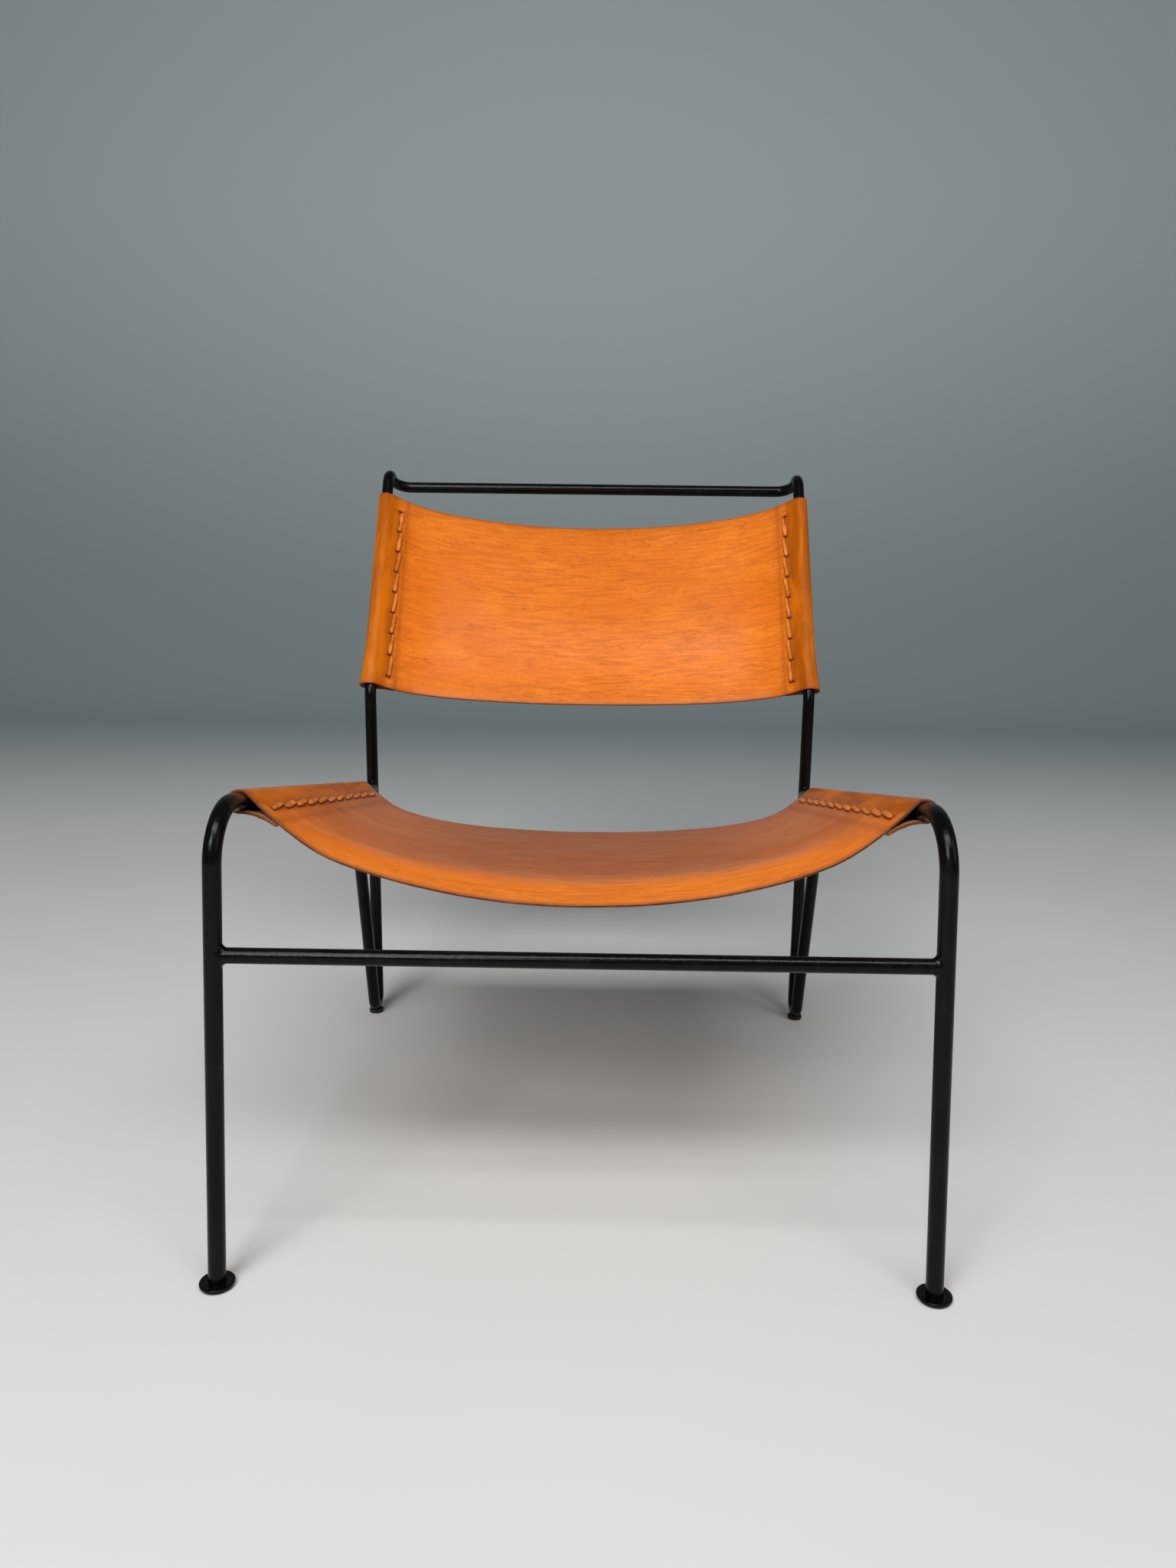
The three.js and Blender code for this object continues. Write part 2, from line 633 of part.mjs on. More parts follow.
// The brace and its weld pass through the underside of the seat sling's fold
const braceSkew = braceAlong.angleTo(railUp);
const notchAt = braceAt - seatFront + wrapRadius * Math.tan(braceSkew);
const notchHalf = (looseRadius + WELD_RADIUS) / Math.cos(braceSkew) + NOTCH_EASE;
const notches = sides.map(([, side]) => seat.notch(notchAt - notchHalf, notchAt + notchHalf, side));
addSling('seat', seat, seatHoles, notches);

const back = new Sling({
  origin: leanCorner.clone().addScaledVector(uprightAlong, backBottom),
  along: uprightAlong,
  out: uprightFront,
  length: BACK_LENGTH,
  sags: [BACK_BOTTOM_SAG, BACK_TOP_SAG],
  flapPastRow: BACK_FLAP_PAST_ROW,
});
const backHoles = spaced(BACK_HOLES, BACK_LENGTH - BACK_TOP_MARGIN, BACK_BOTTOM_MARGIN);
addSling('back', back, backHoles, []);

// The chair stands centred over its own footprint
const box = new THREE.Box3().setFromObject(chair);
chair.position.y = -(box.min.y + box.max.y) / 2;

export default chair;
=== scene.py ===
"""Leather sling lounge chair: smooth bars, laced leather, materials, light and camera.

Metres, +Z up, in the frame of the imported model. The sitter faces -Y.
"""
import math

import bpy
import numpy as np
from mathutils import Matrix, Vector, noise


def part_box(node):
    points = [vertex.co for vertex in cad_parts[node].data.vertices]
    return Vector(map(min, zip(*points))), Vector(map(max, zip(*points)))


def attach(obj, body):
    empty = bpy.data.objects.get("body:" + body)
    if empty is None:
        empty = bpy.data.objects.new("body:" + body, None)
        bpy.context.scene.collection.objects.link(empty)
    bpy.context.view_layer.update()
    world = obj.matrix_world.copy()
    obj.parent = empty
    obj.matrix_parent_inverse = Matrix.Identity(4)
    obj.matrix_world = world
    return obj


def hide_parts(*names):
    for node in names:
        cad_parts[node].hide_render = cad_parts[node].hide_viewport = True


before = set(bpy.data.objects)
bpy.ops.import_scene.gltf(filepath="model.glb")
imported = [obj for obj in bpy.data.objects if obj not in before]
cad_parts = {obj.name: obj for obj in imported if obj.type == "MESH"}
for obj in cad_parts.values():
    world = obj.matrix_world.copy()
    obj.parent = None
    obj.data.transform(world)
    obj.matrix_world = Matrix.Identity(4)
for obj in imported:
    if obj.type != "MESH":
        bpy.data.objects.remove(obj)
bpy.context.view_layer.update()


# Sizes that are the same as in the part's source

BAR_RADIUS = 0.008
STRETCHER_RADIUS = 0.007
FIT_GAP = 0.0003
CORNER_HEIGHT = 0.448
SEAT_TILT = math.radians(10.2)
LEG_BEND_RADIUS = 0.045
STRETCHER_HEIGHT = 0.316
HAIRPIN_RADIUS = 0.014
BRACE_LEAD = 0.005
LEAN_HEIGHT = 0.470
BACK_LEAN = math.radians(29.5)
LEAN_BEND_RADIUS = 0.030
HOOK_BEND_RADIUS = 0.022
HOOK_FALL = math.radians(25)
HOOK_STRAIGHT = 0.003
TOP_BEND_RADIUS = 0.026
TOP_STUB = 0.004
WELD_RADIUS = 0.0017

LEATHER = 0.003
LEAVE_ANGLE = math.radians(48)
STEEP_POWER = 8
ROW_INSET = 0.021
FLAP_ROW_SKEW = 0.003
FLAP_TIP_GAP = 0.0006
SEAT_FRONT_CLEAR = 0.020
SEAT_LENGTH = 0.518
SEAT_REAR_CLEAR = 0.0665
SEAT_SAGS = (0.091, 0.061)
SEAT_FLAP_PAST_ROW = 0.014
SEAT_HOLES = 12
SEAT_MARGINS = (0.018, 0.036)
NOTCH_EASE = 0.0025
NOTCH_RISE = 0.0025
BACK_BOTTOM_CLEAR = 0.001
BACK_LENGTH = 0.307
BACK_TOP_CLEAR = 0.024
BACK_SAGS = (0.068, 0.091)
BACK_FLAP_PAST_ROW = 0.010
BACK_HOLES = 9
BACK_MARGINS = (0.017, 0.024)

THONG_THICKNESS = 0.0016
THONG_GAP = 0.0005
LACE_TAIL = 0.009

# Welds as hollow fillets, where the part's source has plain beads

WELD_LEG = 0.0036
WELD_ROOT = 0.0006
WELD_FULLNESS = 0.22
WELD_RIPPLES = 13
WELD_RIPPLE_DEPTH = 0.07
WELD_UNEVENNESS = 0.20
WELD_LUMPS_PER_METRE = 300

# How the leather has set: loose folds, rolled edges, puckered slits and soft waves

SEAT_LIP = 0.005
BACK_FLARE = 0.0022
LIP_DROP_REACH = 0.05
LIP_CREST = 0.07
LIP_CREST_REACH = 0.045
LIP_CREST_SHARE = 0.6
SEAT_LOOSENESS = 0.0015
BACK_LOOSENESS = 0.005
LOOSE_REACH = 0.09
LOOSE_POWER = 1.5
ROLL_DEPTH = 0.0007
ROLL_REACH = 0.012
PUCKER_DEPTH = 0.0005
PUCKER_ACROSS = 0.006
PUCKER_ALONG = 0.005
FLAP_STEP_HEIGHT = 0.0009
FLAP_STEP_BEFORE = 0.0005
FLAP_STEP_PAST = 0.0035
WAVE_HEIGHT = 0.0009
BROAD_WAVES = (9, 9)
FINE_WAVES = (23, 21)
FINE_WAVE_SHARE = 0.5
FREE_HANG_REACH = 0.05
EDGE_ROUNDING = 0.0008
EDGE_ANGLE = math.radians(60)

# Thongs, which narrow more in their slits than in the part's source and lie less evenly

THONG_WIDTH = 0.0065
THONG_WAIST = 0.0037
THONG_CLEAR = 0.00015
SEAT_STITCH_RISE = 0.0017
BACK_STITCH_RISE = 0.0009
HIDDEN_RISE_SHARE = 0.5
RISE_CHANCE = 0.9
WIDTH_CHANCE = 0.3
STITCH_TWIST_PER_RISE = math.radians(48) / SEAT_STITCH_RISE
SLIT_HALF_WIDTH = 0.0044
SLIT_HALF_OPENING = 0.0009
SLIT_MOUTH = -0.0004
STITCH_SEED = 5

# Where the leather darkens, with painted shade along the lace rows, round the slits and at the flap's hidden
# edge, and how strongly it has worn in use

SEAT_PATINA = 0.75
BACK_PATINA = 0.16
EDGE_DYE_REACH = 0.0035
EDGE_TINT_REACH = 0.022
EDGE_TINT = 0.30
FOLD_FADE_START = 0.007
FOLD_FADE_END = 0.0015
ROW_SHADE_OUTER = 0.0085
ROW_SHADE_INNER = 0.005
ROW_SHADE_PAST_END = 0.004
SLIT_SHADE_REACH = 0.004
ROW_SHADE_SHARE = 0.55
# Painted shade along the ridge where the flap's edge lies under the top layer
FLAP_LINE = 0.001
FLAP_LINE_WIDTH = 0.003
FLAP_LINE_SHARE = 0.5
USE_ALONG = (0.05, 0.17)
USE_ACROSS = (0.05, 0.2)
USE_AT_BARS = 0.55

# How finely the pieces are drawn

BAR_SIDES = 40
BEND_STEP = math.radians(5)
WRAP_STEP = math.radians(9)
GRID_STEP = 0.010
SPAN_COLUMNS = 26
SPAN_CROWDING = 1.35
WELD_STEPS = 8
RIM_STEPS = 6
DISC_FACE_SHARES = (0.05, 0.5, 0.97)
TIP_INSETS = np.array((0, 0.0011, 0.0020))
UNDER_BAR_SHARES = np.array((0.75, 0.5, 0.25))
FREE_EDGE_INSETS = (0, 0.0012, 0.0025, 0.005)
SLIT_REACHES = (SLIT_HALF_OPENING, 0.002, 0.005)
SLIT_COLUMNS = 2
THONG_SIDES = 14
THONG_ROUNDNESS = 0.55

# The photograph's camera, placed from the front feet: a plain lens for a frame of 1536 by 2048

PHOTO_HEIGHT = 2048
FOCAL_PIXELS = 1443.6
SENSOR_HEIGHT = 24.0
CAMERA_FROM_FEET = Vector((0.0155, -0.8945, 0.6457))
CAMERA_PITCH = 0.19414
CAMERA_YAW = -0.01012
CAMERA_ROLL = -0.01242


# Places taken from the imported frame

def middle(node):
    low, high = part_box(node)
    return (np.array(low) + np.array(high)) / 2


foot = middle("foot_disc_right")
glide = middle("rear_glide_right")
FRONT_Y = foot[1]
FOOT_X = foot[0]
RAIL_X = glide[0]
LEG_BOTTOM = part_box("foot_disc_right")[1][2] + FIT_GAP
HAIRPIN_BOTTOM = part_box("back_bar_right")[0][2] + BAR_RADIUS
SIDES = (("left", -1), ("right", 1))


# Vectors and meshes

def vec(x, y, z):
    return np.array((x, y, z), float)


def unit(v):
    return v / np.linalg.norm(v)


def on_side(point, x):
    return vec(x, point[1], point[2])


def turned(v, axis, angle):
    return np.array(Matrix.Rotation(angle, 3, Vector(axis)) @ Vector(v))


def smoothstep(low, high, x):
    t = np.clip((x - low) / (high - low), 0, 1)
    return t * t * (3 - 2 * t)


def add_piece(node, points, faces, look, uv=None, wear=None):
    """A smooth mesh that stands for a CAD node and moves with the chair."""
    mesh = bpy.data.meshes.new(f"{node}_detail")
    mesh.from_pydata([tuple(p) for p in points], [], faces)
    mesh.polygons.foreach_set("use_smooth", [len(face) == 4 for face in faces])
    for cap in (face for face in mesh.polygons if not face.use_smooth):
        for corner in cap.loop_indices:
            mesh.edges[mesh.loops[corner].edge_index].use_edge_sharp = True
    mesh.materials.append(look)
    if uv is not None:
        corners = np.empty(len(mesh.loops), dtype=np.int32)
        mesh.loops.foreach_get("vertex_index", corners)
        mesh.uv_layers.new(name="surface").data.foreach_set("uv", np.asarray(uv)[corners].ravel())
    if wear is not None:
        # Shares of wear, among them painted shade along lace rows and where thongs dive into slits
        layer = mesh.color_attributes.new("wear", "FLOAT_COLOR", "POINT")
        layer.data.foreach_set("color", np.asarray(wear, dtype=np.float32).ravel())
    piece = bpy.data.objects.new(mesh.name, mesh)
    bpy.context.scene.collection.objects.link(piece)
    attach(piece, "root")
    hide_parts(node)
    return piece


def skin(rings, closed=False):
    """Points and faces of a skin over rings of equal count; an open row of rings is capped at both ends."""
    rings = np.asarray(rings)
    count, size = rings.shape[:2]
    faces = []
    for k in range(count if closed else count - 1):
        a, b = k * size, (k + 1) % count * size
        faces += [(a + j, a + (j + 1) % size, b + (j + 1) % size, b + j) for j in range(size)]
    if not closed:
        faces += [tuple(reversed(range(size))), tuple(range((count - 1) * size, count * size))]
    return rings.reshape(-1, 3), faces


# Bent bars

def bend_setback(into, out, radius):
    return radius * math.tan(math.acos(np.clip(into @ out, -1, 1)) / 2)


def bent_axis(corners, radii=()):
    """Points and directions along a bar's axis, each inner corner rounded to its own radius."""
    points, along = [corners[0]], [unit(corners[1] - corners[0])]
    for a, b, c, radius in zip(corners, corners[1:], corners[2:], radii):
        into, out = unit(b - a), unit(c - b)
        turn = math.acos(np.clip(into @ out, -1, 1))
        axis = unit(np.cross(into, out))
        spoke = np.cross(into, axis) * radius
        centre = b - into * bend_setback(into, out, radius) - spoke
        steps = math.ceil(turn / BEND_STEP)
        for angle in np.linspace(0, turn, steps + 1):
            points.append(centre + turned(spoke, axis, angle))
            along.append(turned(into, axis, angle))
    return np.array(points + [corners[-1]]), np.array(along + [unit(corners[-1] - corners[-2])])


def tube(axis, radius):
    """Rings round an axis, carried along it without twist."""
    points, along = axis
    across = np.cross(along[0], vec(1, 0, 0) if abs(along[0][0]) < 0.9 else vec(0, 1, 0))
    angles = np.linspace(0, 2 * math.pi, BAR_SIDES, endpoint=False)[:, None]
    rings = []
    for point, direction in zip(points, along):
        across = unit(across - direction * (across @ direction))
        other = np.cross(direction, across)
        rings.append(point + radius * (np.cos(angles) * across + np.sin(angles) * other))
    return rings


def cope(ring, direction, main_point, main_along, radius):
    """Slides a ring's points along a direction until they meet a round main bar."""
    across = direction - main_along * (direction @ main_along)
    start = ring - main_point
    start = start - np.outer(start @ main_along, main_along)
    a, b, c = across @ across, start @ across, (start * start).sum(1) - radius ** 2
    reach = (-b - np.sqrt(np.maximum(b * b - a * c, 0))) / a
    return ring + np.outer(reach, direction)


def weld(ring, joint, direction, main_along):
    """A hollow fillet laid round a coped end, rippled as a hand weld is."""
    turns_left = np.cross(ring[0] - joint, ring[1] - joint) @ direction > 0
    share = np.linspace(0, 1, WELD_STEPS)[:, None]
    sections = []
    for k, point in enumerate(ring):
        out = point - joint
        out = unit(out - direction * (out @ direction))
        lumps = WELD_UNEVENNESS * noise.noise(Vector(point) * WELD_LUMPS_PER_METRE)
        ripple = 1 + WELD_RIPPLE_DEPTH * math.cos(2 * math.pi * WELD_RIPPLES * k / len(ring)) + lumps
        on_branch = point - direction * WELD_LEG * ripple
        reach = point + out * WELD_LEG * ripple - joint
        level = main_along * (reach @ main_along)
        on_main = joint + level + unit(reach - level) * BAR_RADIUS
        pull = point + (on_branch + on_main - 2 * point) * WELD_FULLNESS
        face = (1 - share) ** 2 * on_branch + 2 * share * (1 - share) * pull + share ** 2 * on_main
        section = np.concatenate((face, [point + (direction - out) * WELD_ROOT]))
        sections.append(section[::-1] if turns_left else section)
    return skin(sections, closed=True)


def turned_disc(centre, diameter, bottom, height, edge):
    """A disc with two rounded rims, turned about a vertical axis."""
    rim = diameter / 2 - edge
    profile = [(rim * share, bottom) for share in DISC_FACE_SHARES]
    for start, level in ((-math.pi / 2, bottom + edge), (0, bottom + height - edge)):
        for t in np.linspace(start, start + math.pi / 2, RIM_STEPS):
            profile.append((rim + edge * math.cos(t), level + edge * math.sin(t)))
    profile += [(rim * share, bottom + height) for share in DISC_FACE_SHARES[::-1]]
    turns = np.linspace(0, 2 * math.pi, BAR_SIDES, endpoint=False)
    x, y = centre[:2]
    return skin([[vec(x + r * math.cos(t), y + r * math.sin(t), z) for t in turns] for r, z in profile])


# Procedural materials

class Look:
    """A node material, with short ways to add to it."""

    def __init__(self, name):
        self.material = bpy.data.materials.new(name)
        self.material.use_nodes = True
        self.tree = self.material.node_tree
        self.shader = self.tree.nodes["Principled BSDF"]

    def put(self, socket, value):
        if isinstance(value, bpy.types.NodeSocket):
            self.tree.links.new(value, socket)
        else:
            socket.default_value = value

    def node(self, kind, inputs, **settings):
        node = self.tree.nodes.new(f"ShaderNode{kind}")
        for name, value in settings.items():
            setattr(node, name, value)
        for name, value in inputs.items():
            self.put(node.inputs[name], value)
        return node

    def place(self):
        return self.node("TexCoord", {}).outputs["Object"]

    def surface(self):
        return self.node("UVMap", {}, uv_map="surface").outputs["UV"]

    def stretched(self, vector, scale):
        return self.node("Mapping", {"Vector": vector, "Scale": scale}).outputs["Vector"]

    def grain(self, vector, scale, detail=3.0, roughness=0.55, distortion=0.0):
        inputs = {"Vector": vector, "Scale": scale, "Detail": detail,
                  "Roughness": roughness, "Distortion": distortion}
        return self.node("TexNoise", inputs).outputs["Fac"]

    def ranged(self, value, low, high, start=0.0, end=1.0):
        inputs = {"Value": value, "From Min": low, "From Max": high, "To Min": start, "To Max": end}
        return self.node("MapRange", inputs, interpolation_type="SMOOTHSTEP").outputs["Result"]

    def maths(self, operation, a, b):
        node = self.node("Math", {0: a, 1: b}, operation=operation)
        return node.outputs[0]

    def mixed(self, share, a, b, blend="MIX"):
        node = self.node("Mix", {0: share, 6: a, 7: b}, data_type="RGBA", blend_type=blend)
        return node.outputs[2]

    def creases(self, vector, width):
        """Thin winding lines, where a noise crosses its middle value."""
        level = self.maths("SUBTRACT", self.grain(vector, 1.0, 3.0, 0.5, 0.7), 0.5)
        return self.ranged(self.maths("ABSOLUTE", level, 0.0), 0.0, width, 1.0, 0.0)

    def wear(self):
        """The shares of fold, edge, painted shade along the stitch line and long use at a point of the
        leather.
        """
        kept = self.node("Attribute", {}, attribute_name="wear").outputs
        parts = self.node("SeparateColor", {"Color": kept["Color"]}).outputs
        return parts["Red"], parts["Green"], parts["Blue"], kept["Alpha"]

    def finish(self, colour, roughness, height, depth, **fixed):
        bump = self.node("Bump", {"Height": height, "Distance": depth, "Strength": 1.0}).outputs["Normal"]
        for name, value in {"Base Color": colour, "Roughness": roughness, "Normal": bump, **fixed}.items():
            self.put(self.shader.inputs[name.replace("_", " ")], value)
        return self.material


def lacquer():
    """Satin black lacquer on bar: brush lumps, speckled gloss and small chips."""
    look = Look("lacquered_steel")
    place = look.place()
    lumps = look.grain(place, 180.0, 3.0)
    speckle = look.grain(place, 900.0, 2.0)
    scuffs = look.grain(place, 38.0, 6.0, 0.7)
    chip = look.maths("MULTIPLY", look.ranged(look.grain(place, 150.0, 4.0, 0.65), 0.70, 0.73),
                      look.ranged(look.grain(place, 14.0, 2.0), 0.55, 0.65))
    deep, worn, bare = (0.0015, 0.0014, 0.0014, 1), (0.005, 0.0045, 0.0042, 1), (0.10, 0.065, 0.045, 1)
    black = look.mixed(look.ranged(scuffs, 0.45, 0.75), deep, worn)
    colour = look.mixed(chip, black, bare)
    gloss = look.maths("ADD", look.ranged(scuffs, 0.3, 0.75, 0.12, 0.22),
                       look.ranged(speckle, 0.35, 0.7, 0.0, 0.08))
    height = look.maths("SUBTRACT", look.maths("ADD", lumps, look.maths("MULTIPLY", speckle, 0.35)), chip)
    return look.finish(colour, gloss, height, 0.00024, Specular_IOR_Level=0.14)


def rubber():
    """Matt black rubber with a dusty, finely pitted skin."""
    look = Look("black_rubber")
    place = look.place()
    dust = look.grain(place, 120.0, 5.0, 0.7)
    clean, dusty = (0.006, 0.0056, 0.0055, 1), (0.022, 0.020, 0.019, 1)
    colour = look.mixed(look.ranged(dust, 0.4, 0.8), clean, dusty)
    pits = look.grain(place, 1800.0, 2.0)
    return look.finish(colour, look.ranged(dust, 0.3, 0.7, 0.6, 0.85), pits, 0.0001)


def grain_leather():
    """Cognac saddle leather: flowing cross lines, pores, darker folds, edges and seat, and painted shade
    along the stitch lines.
    """
    look = Look("saddle_leather")
    surface = look.surface()
    fold, edge, stitch, use = look.wear()
    tone = look.grain(surface, 4.5, 3.0, 0.5, 0.4)
    clouds = look.grain(look.stretched(surface, (12.0, 22.0, 1.0)), 1.0, 4.0, 0.55, 0.5)
    patches = look.grain(look.stretched(surface, (9.0, 30.0, 1.0)), 1.0, 3.0)
    streaks = look.grain(look.stretched(surface, (22.0, 230.0, 1.0)), 1.0, 5.0, 0.65, 0.6)
    fine = look.creases(look.stretched(surface, (20.0, 150.0, 1.0)), 0.030)
    broad = look.creases(look.stretched(surface, (6.0, 46.0, 1.0)), 0.036)
    mottle = look.grain(look.stretched(surface, (150.0, 260.0, 1.0)), 1.0, 4.0, 0.7)
    pores = look.grain(surface, 1100.0, 3.0, 0.6)
    line = look.maths("MULTIPLY", fine, look.ranged(patches, 0.38, 0.64))

    pale, russet = (0.90, 0.244, 0.026, 1), (0.66, 0.152, 0.011, 1)
    colour = look.mixed(look.ranged(streaks, 0.30, 0.72), pale, russet)
    colour = look.mixed(look.ranged(tone, 0.36, 0.66, 0.0, 0.75), colour, (0.74, 0.166, 0.009, 1))
    colour = look.mixed(look.ranged(clouds, 0.46, 0.74, 0.0, 0.65), colour, (0.90, 0.262, 0.026, 1))
    colour = look.mixed(look.maths("MULTIPLY", line, 0.50), colour, (0.36, 0.074, 0.005, 1))
    bold = look.ranged(use, 0.0, 0.75, 0.26, 0.48)
    colour = look.mixed(look.maths("MULTIPLY", broad, bold), colour, (0.42, 0.086, 0.006, 1))
    colour = look.mixed(look.ranged(mottle, 0.42, 0.72, 0.0, 0.34), colour, (0.50, 0.100, 0.006, 1))
    colour = look.mixed(look.ranged(pores, 0.54, 0.76, 0.0, 0.28), colour, (0.40, 0.075, 0.004, 1))
    colour = look.mixed(use, colour, (0.40, 0.36, 0.30, 1), "MULTIPLY")
    burnish = look.grain(look.stretched(surface, (38.0, 7.0, 1.0)), 1.0, 5.0, 0.6, 0.5)
    amber, brown = (0.62, 0.155, 0.004, 1), (0.34, 0.076, 0.002, 1)
    folded = look.mixed(look.ranged(burnish, 0.36, 0.64), amber, brown)
    colour = look.mixed(look.maths("MULTIPLY", fold, 0.92), colour, folded)
    # Painted shade along the lace rows, round the slits and at the flap's hidden edge, partly burnish
    colour = look.mixed(look.maths("MULTIPLY", stitch, 0.80), colour, (0.22, 0.044, 0.003, 1))
    colour = look.mixed(look.maths("MULTIPLY", edge, 0.75), colour, (0.16, 0.035, 0.006, 1))

    rough = look.maths("ADD", look.ranged(clouds, 0.3, 0.7, 0.30, 0.22),
                       look.ranged(pores, 0.3, 0.7, -0.02, 0.05))
    ridges = look.maths("ADD", look.maths("MULTIPLY", streaks, 0.22), look.maths("MULTIPLY", pores, 0.22))
    height = look.maths("SUBTRACT", ridges, look.maths("MULTIPLY", line, 0.12))
    shine = look.ranged(fold, 0.2, 0.9, 0.13, 0.06)
    return look.finish(colour, rough, height, 0.00026, Specular_IOR_Level=shine)


def flesh_leather():
    """The leather's unfinished back: brown, fibrous and dull."""
    look = Look("leather_flesh_side")
    surface = look.surface()
    fibres = look.grain(look.stretched(surface, (260.0, 420.0, 1.0)), 1.0, 5.0, 0.7, 0.6)
    clouds = look.grain(surface, 16.0, 4.0, 0.6)
    light, dark, fibre = (0.40, 0.19, 0.075, 1), (0.27, 0.115, 0.040, 1), (0.50, 0.28, 0.13, 1)
    colour = look.mixed(look.ranged(clouds, 0.3, 0.7), light, dark)
    colour = look.mixed(look.ranged(fibres, 0.40, 0.70, 0.0, 0.65), colour, fibre)
    return look.finish(colour, look.ranged(fibres, 0.3, 0.7, 0.82, 0.95), fibres, 0.0009,
                       Sheen_Weight=0.15, Sheen_Roughness=0.6, Sheen_Tint=(0.9, 0.65, 0.4, 1.0))


def cut_leather():
    """The leather's cut edge: dyed dark, worn to the fibre in places."""
    look = Look("leather_cut_edge")
    place = look.place()
    wear = look.grain(place, 55.0, 5.0, 0.7)
    fibres = look.grain(place, 1500.0, 3.0, 0.7)
    dyed, worn = (0.040, 0.013, 0.005, 1), (0.17, 0.064, 0.022, 1)
    colour = look.mixed(look.ranged(wear, 0.42, 0.70), dyed, worn)
    colour = look.mixed(look.ranged(fibres, 0.5, 0.8, 0.0, 0.4), colour, (0.05, 0.018, 0.008, 1))
    return look.finish(colour, look.ranged(wear, 0.3, 0.7, 0.5, 0.75), fibres, 0.0004)


def thong_leather():
    """Flat lacing thong: pale along its crown, dark at its cut edges, partly burnish and partly painted
    shade, and with painted shade where it dives.
    """
    look = Look("thong_leather")
    surface = look.surface()
    place = look.place()
    dive_shade = look.wear()[0]
    across = look.node("SeparateXYZ", {"Vector": surface}).outputs["X"]
    rim = look.ranged(look.maths("ABSOLUTE", across, 0.0), 0.48, 0.95)
    creases = look.grain(look.stretched(surface, (3.5, 90.0, 1.0)), 1.0, 4.0, 0.6)
    clouds = look.grain(place, 70.0, 3.0)
    pale, russet = (0.86, 0.250, 0.034, 1), (0.58, 0.136, 0.010, 1)
    colour = look.mixed(look.ranged(clouds, 0.35, 0.7), pale, russet)
    colour = look.mixed(look.ranged(creases, 0.45, 0.75, 0.0, 0.55), colour, (0.34, 0.075, 0.010, 1))
    # Painted shade down the thong's sides, partly a burnished cut edge
    colour = look.mixed(look.maths("MULTIPLY", rim, 0.88), colour, (0.10, 0.022, 0.004, 1))
    # Painted shade where the thong dives into a slit
    colour = look.mixed(look.ranged(dive_shade, 0.05, 0.9, 0.0, 0.85), colour, (0.07, 0.016, 0.003, 1))
    rough = look.ranged(creases, 0.3, 0.7, 0.28, 0.44)
    return look.finish(colour, rough, creases, 0.0004, Specular_IOR_Level=0.30)


lacquered = lacquer()
black_rubber = rubber()
grain_side = grain_leather()
flesh_side = flesh_leather()
cut_side = cut_leather()
thong = thong_leather()


# Directions and places in the side view, on the plane X = 0

rail_along = vec(0, math.cos(SEAT_TILT), -math.sin(SEAT_TILT))
rail_up = vec(0, math.sin(SEAT_TILT), math.cos(SEAT_TILT))
upright_along = vec(0, math.sin(BACK_LEAN), math.cos(BACK_LEAN))
upright_front = vec(0, -math.cos(BACK_LEAN), math.sin(BACK_LEAN))
hook_along = vec(0, math.cos(HOOK_FALL), -math.sin(HOOK_FALL))
plumb = vec(0, 0, 1)


def leg_along(side):
    return unit(vec(side * (RAIL_X - FOOT_X), 0, CORNER_HEIGHT - LEG_BOTTOM))


seat_corner = vec(0, FRONT_Y, CORNER_HEIGHT)
seat_front = bend_setback(leg_along(1), rail_along, LEG_BEND_RADIUS) + SEAT_FRONT_CLEAR
rail_end = seat_corner + rail_along * (seat_front + SEAT_LENGTH + SEAT_REAR_CLEAR)
seat_holes = np.linspace(SEAT_MARGINS[0], SEAT_LENGTH - SEAT_MARGINS[1], SEAT_HOLES)
brace_top = seat_corner + rail_along * (seat_front + seat_holes[-2:].mean() - BRACE_LEAD)

hairpin_centre = vec(0, rail_end[1] - HAIRPIN_RADIUS, HAIRPIN_BOTTOM + HAIRPIN_RADIUS)
brace_run = brace_top - hairpin_centre
brace_angle = math.atan2(-brace_run[1], brace_run[2])
brace_angle -= math.asin(HAIRPIN_RADIUS / np.linalg.norm(brace_run))
brace_along = vec(0, -math.sin(brace_angle), math.cos(brace_angle))
hairpin_corner = vec(0, rail_end[1], hairpin_centre[2] - HAIRPIN_RADIUS / math.tan(brace_angle / 2))

lean_corner = vec(0, rail_end[1], LEAN_HEIGHT)
back_bottom = bend_setback(plumb, upright_along, LEAN_BEND_RADIUS) + BACK_BOTTOM_CLEAR
back_holes = np.linspace(BACK_LENGTH - BACK_MARGINS[1], BACK_MARGINS[0], BACK_HOLES)
hook_setback = bend_setback(upright_along, hook_along, HOOK_BEND_RADIUS)
hook_corner = lean_corner + upright_along * (back_bottom + BACK_LENGTH + BACK_TOP_CLEAR + hook_setback)
top_corner = hook_corner + hook_along * (hook_setback + HOOK_STRAIGHT + TOP_BEND_RADIUS)
hook_end = RAIL_X - TOP_BEND_RADIUS - TOP_STUB


# Frame: each bar's ends are coped to the bar that they are welded to

stretcher_share = (STRETCHER_HEIGHT - LEG_BOTTOM) / (CORNER_HEIGHT - LEG_BOTTOM)
stretcher_x = FOOT_X + (RAIL_X - FOOT_X) * stretcher_share
stretcher_rings = tube(bent_axis([vec(-stretcher_x / 2, FRONT_Y, STRETCHER_HEIGHT),
                                  vec(stretcher_x / 2, FRONT_Y, STRETCHER_HEIGHT)]), STRETCHER_RADIUS)

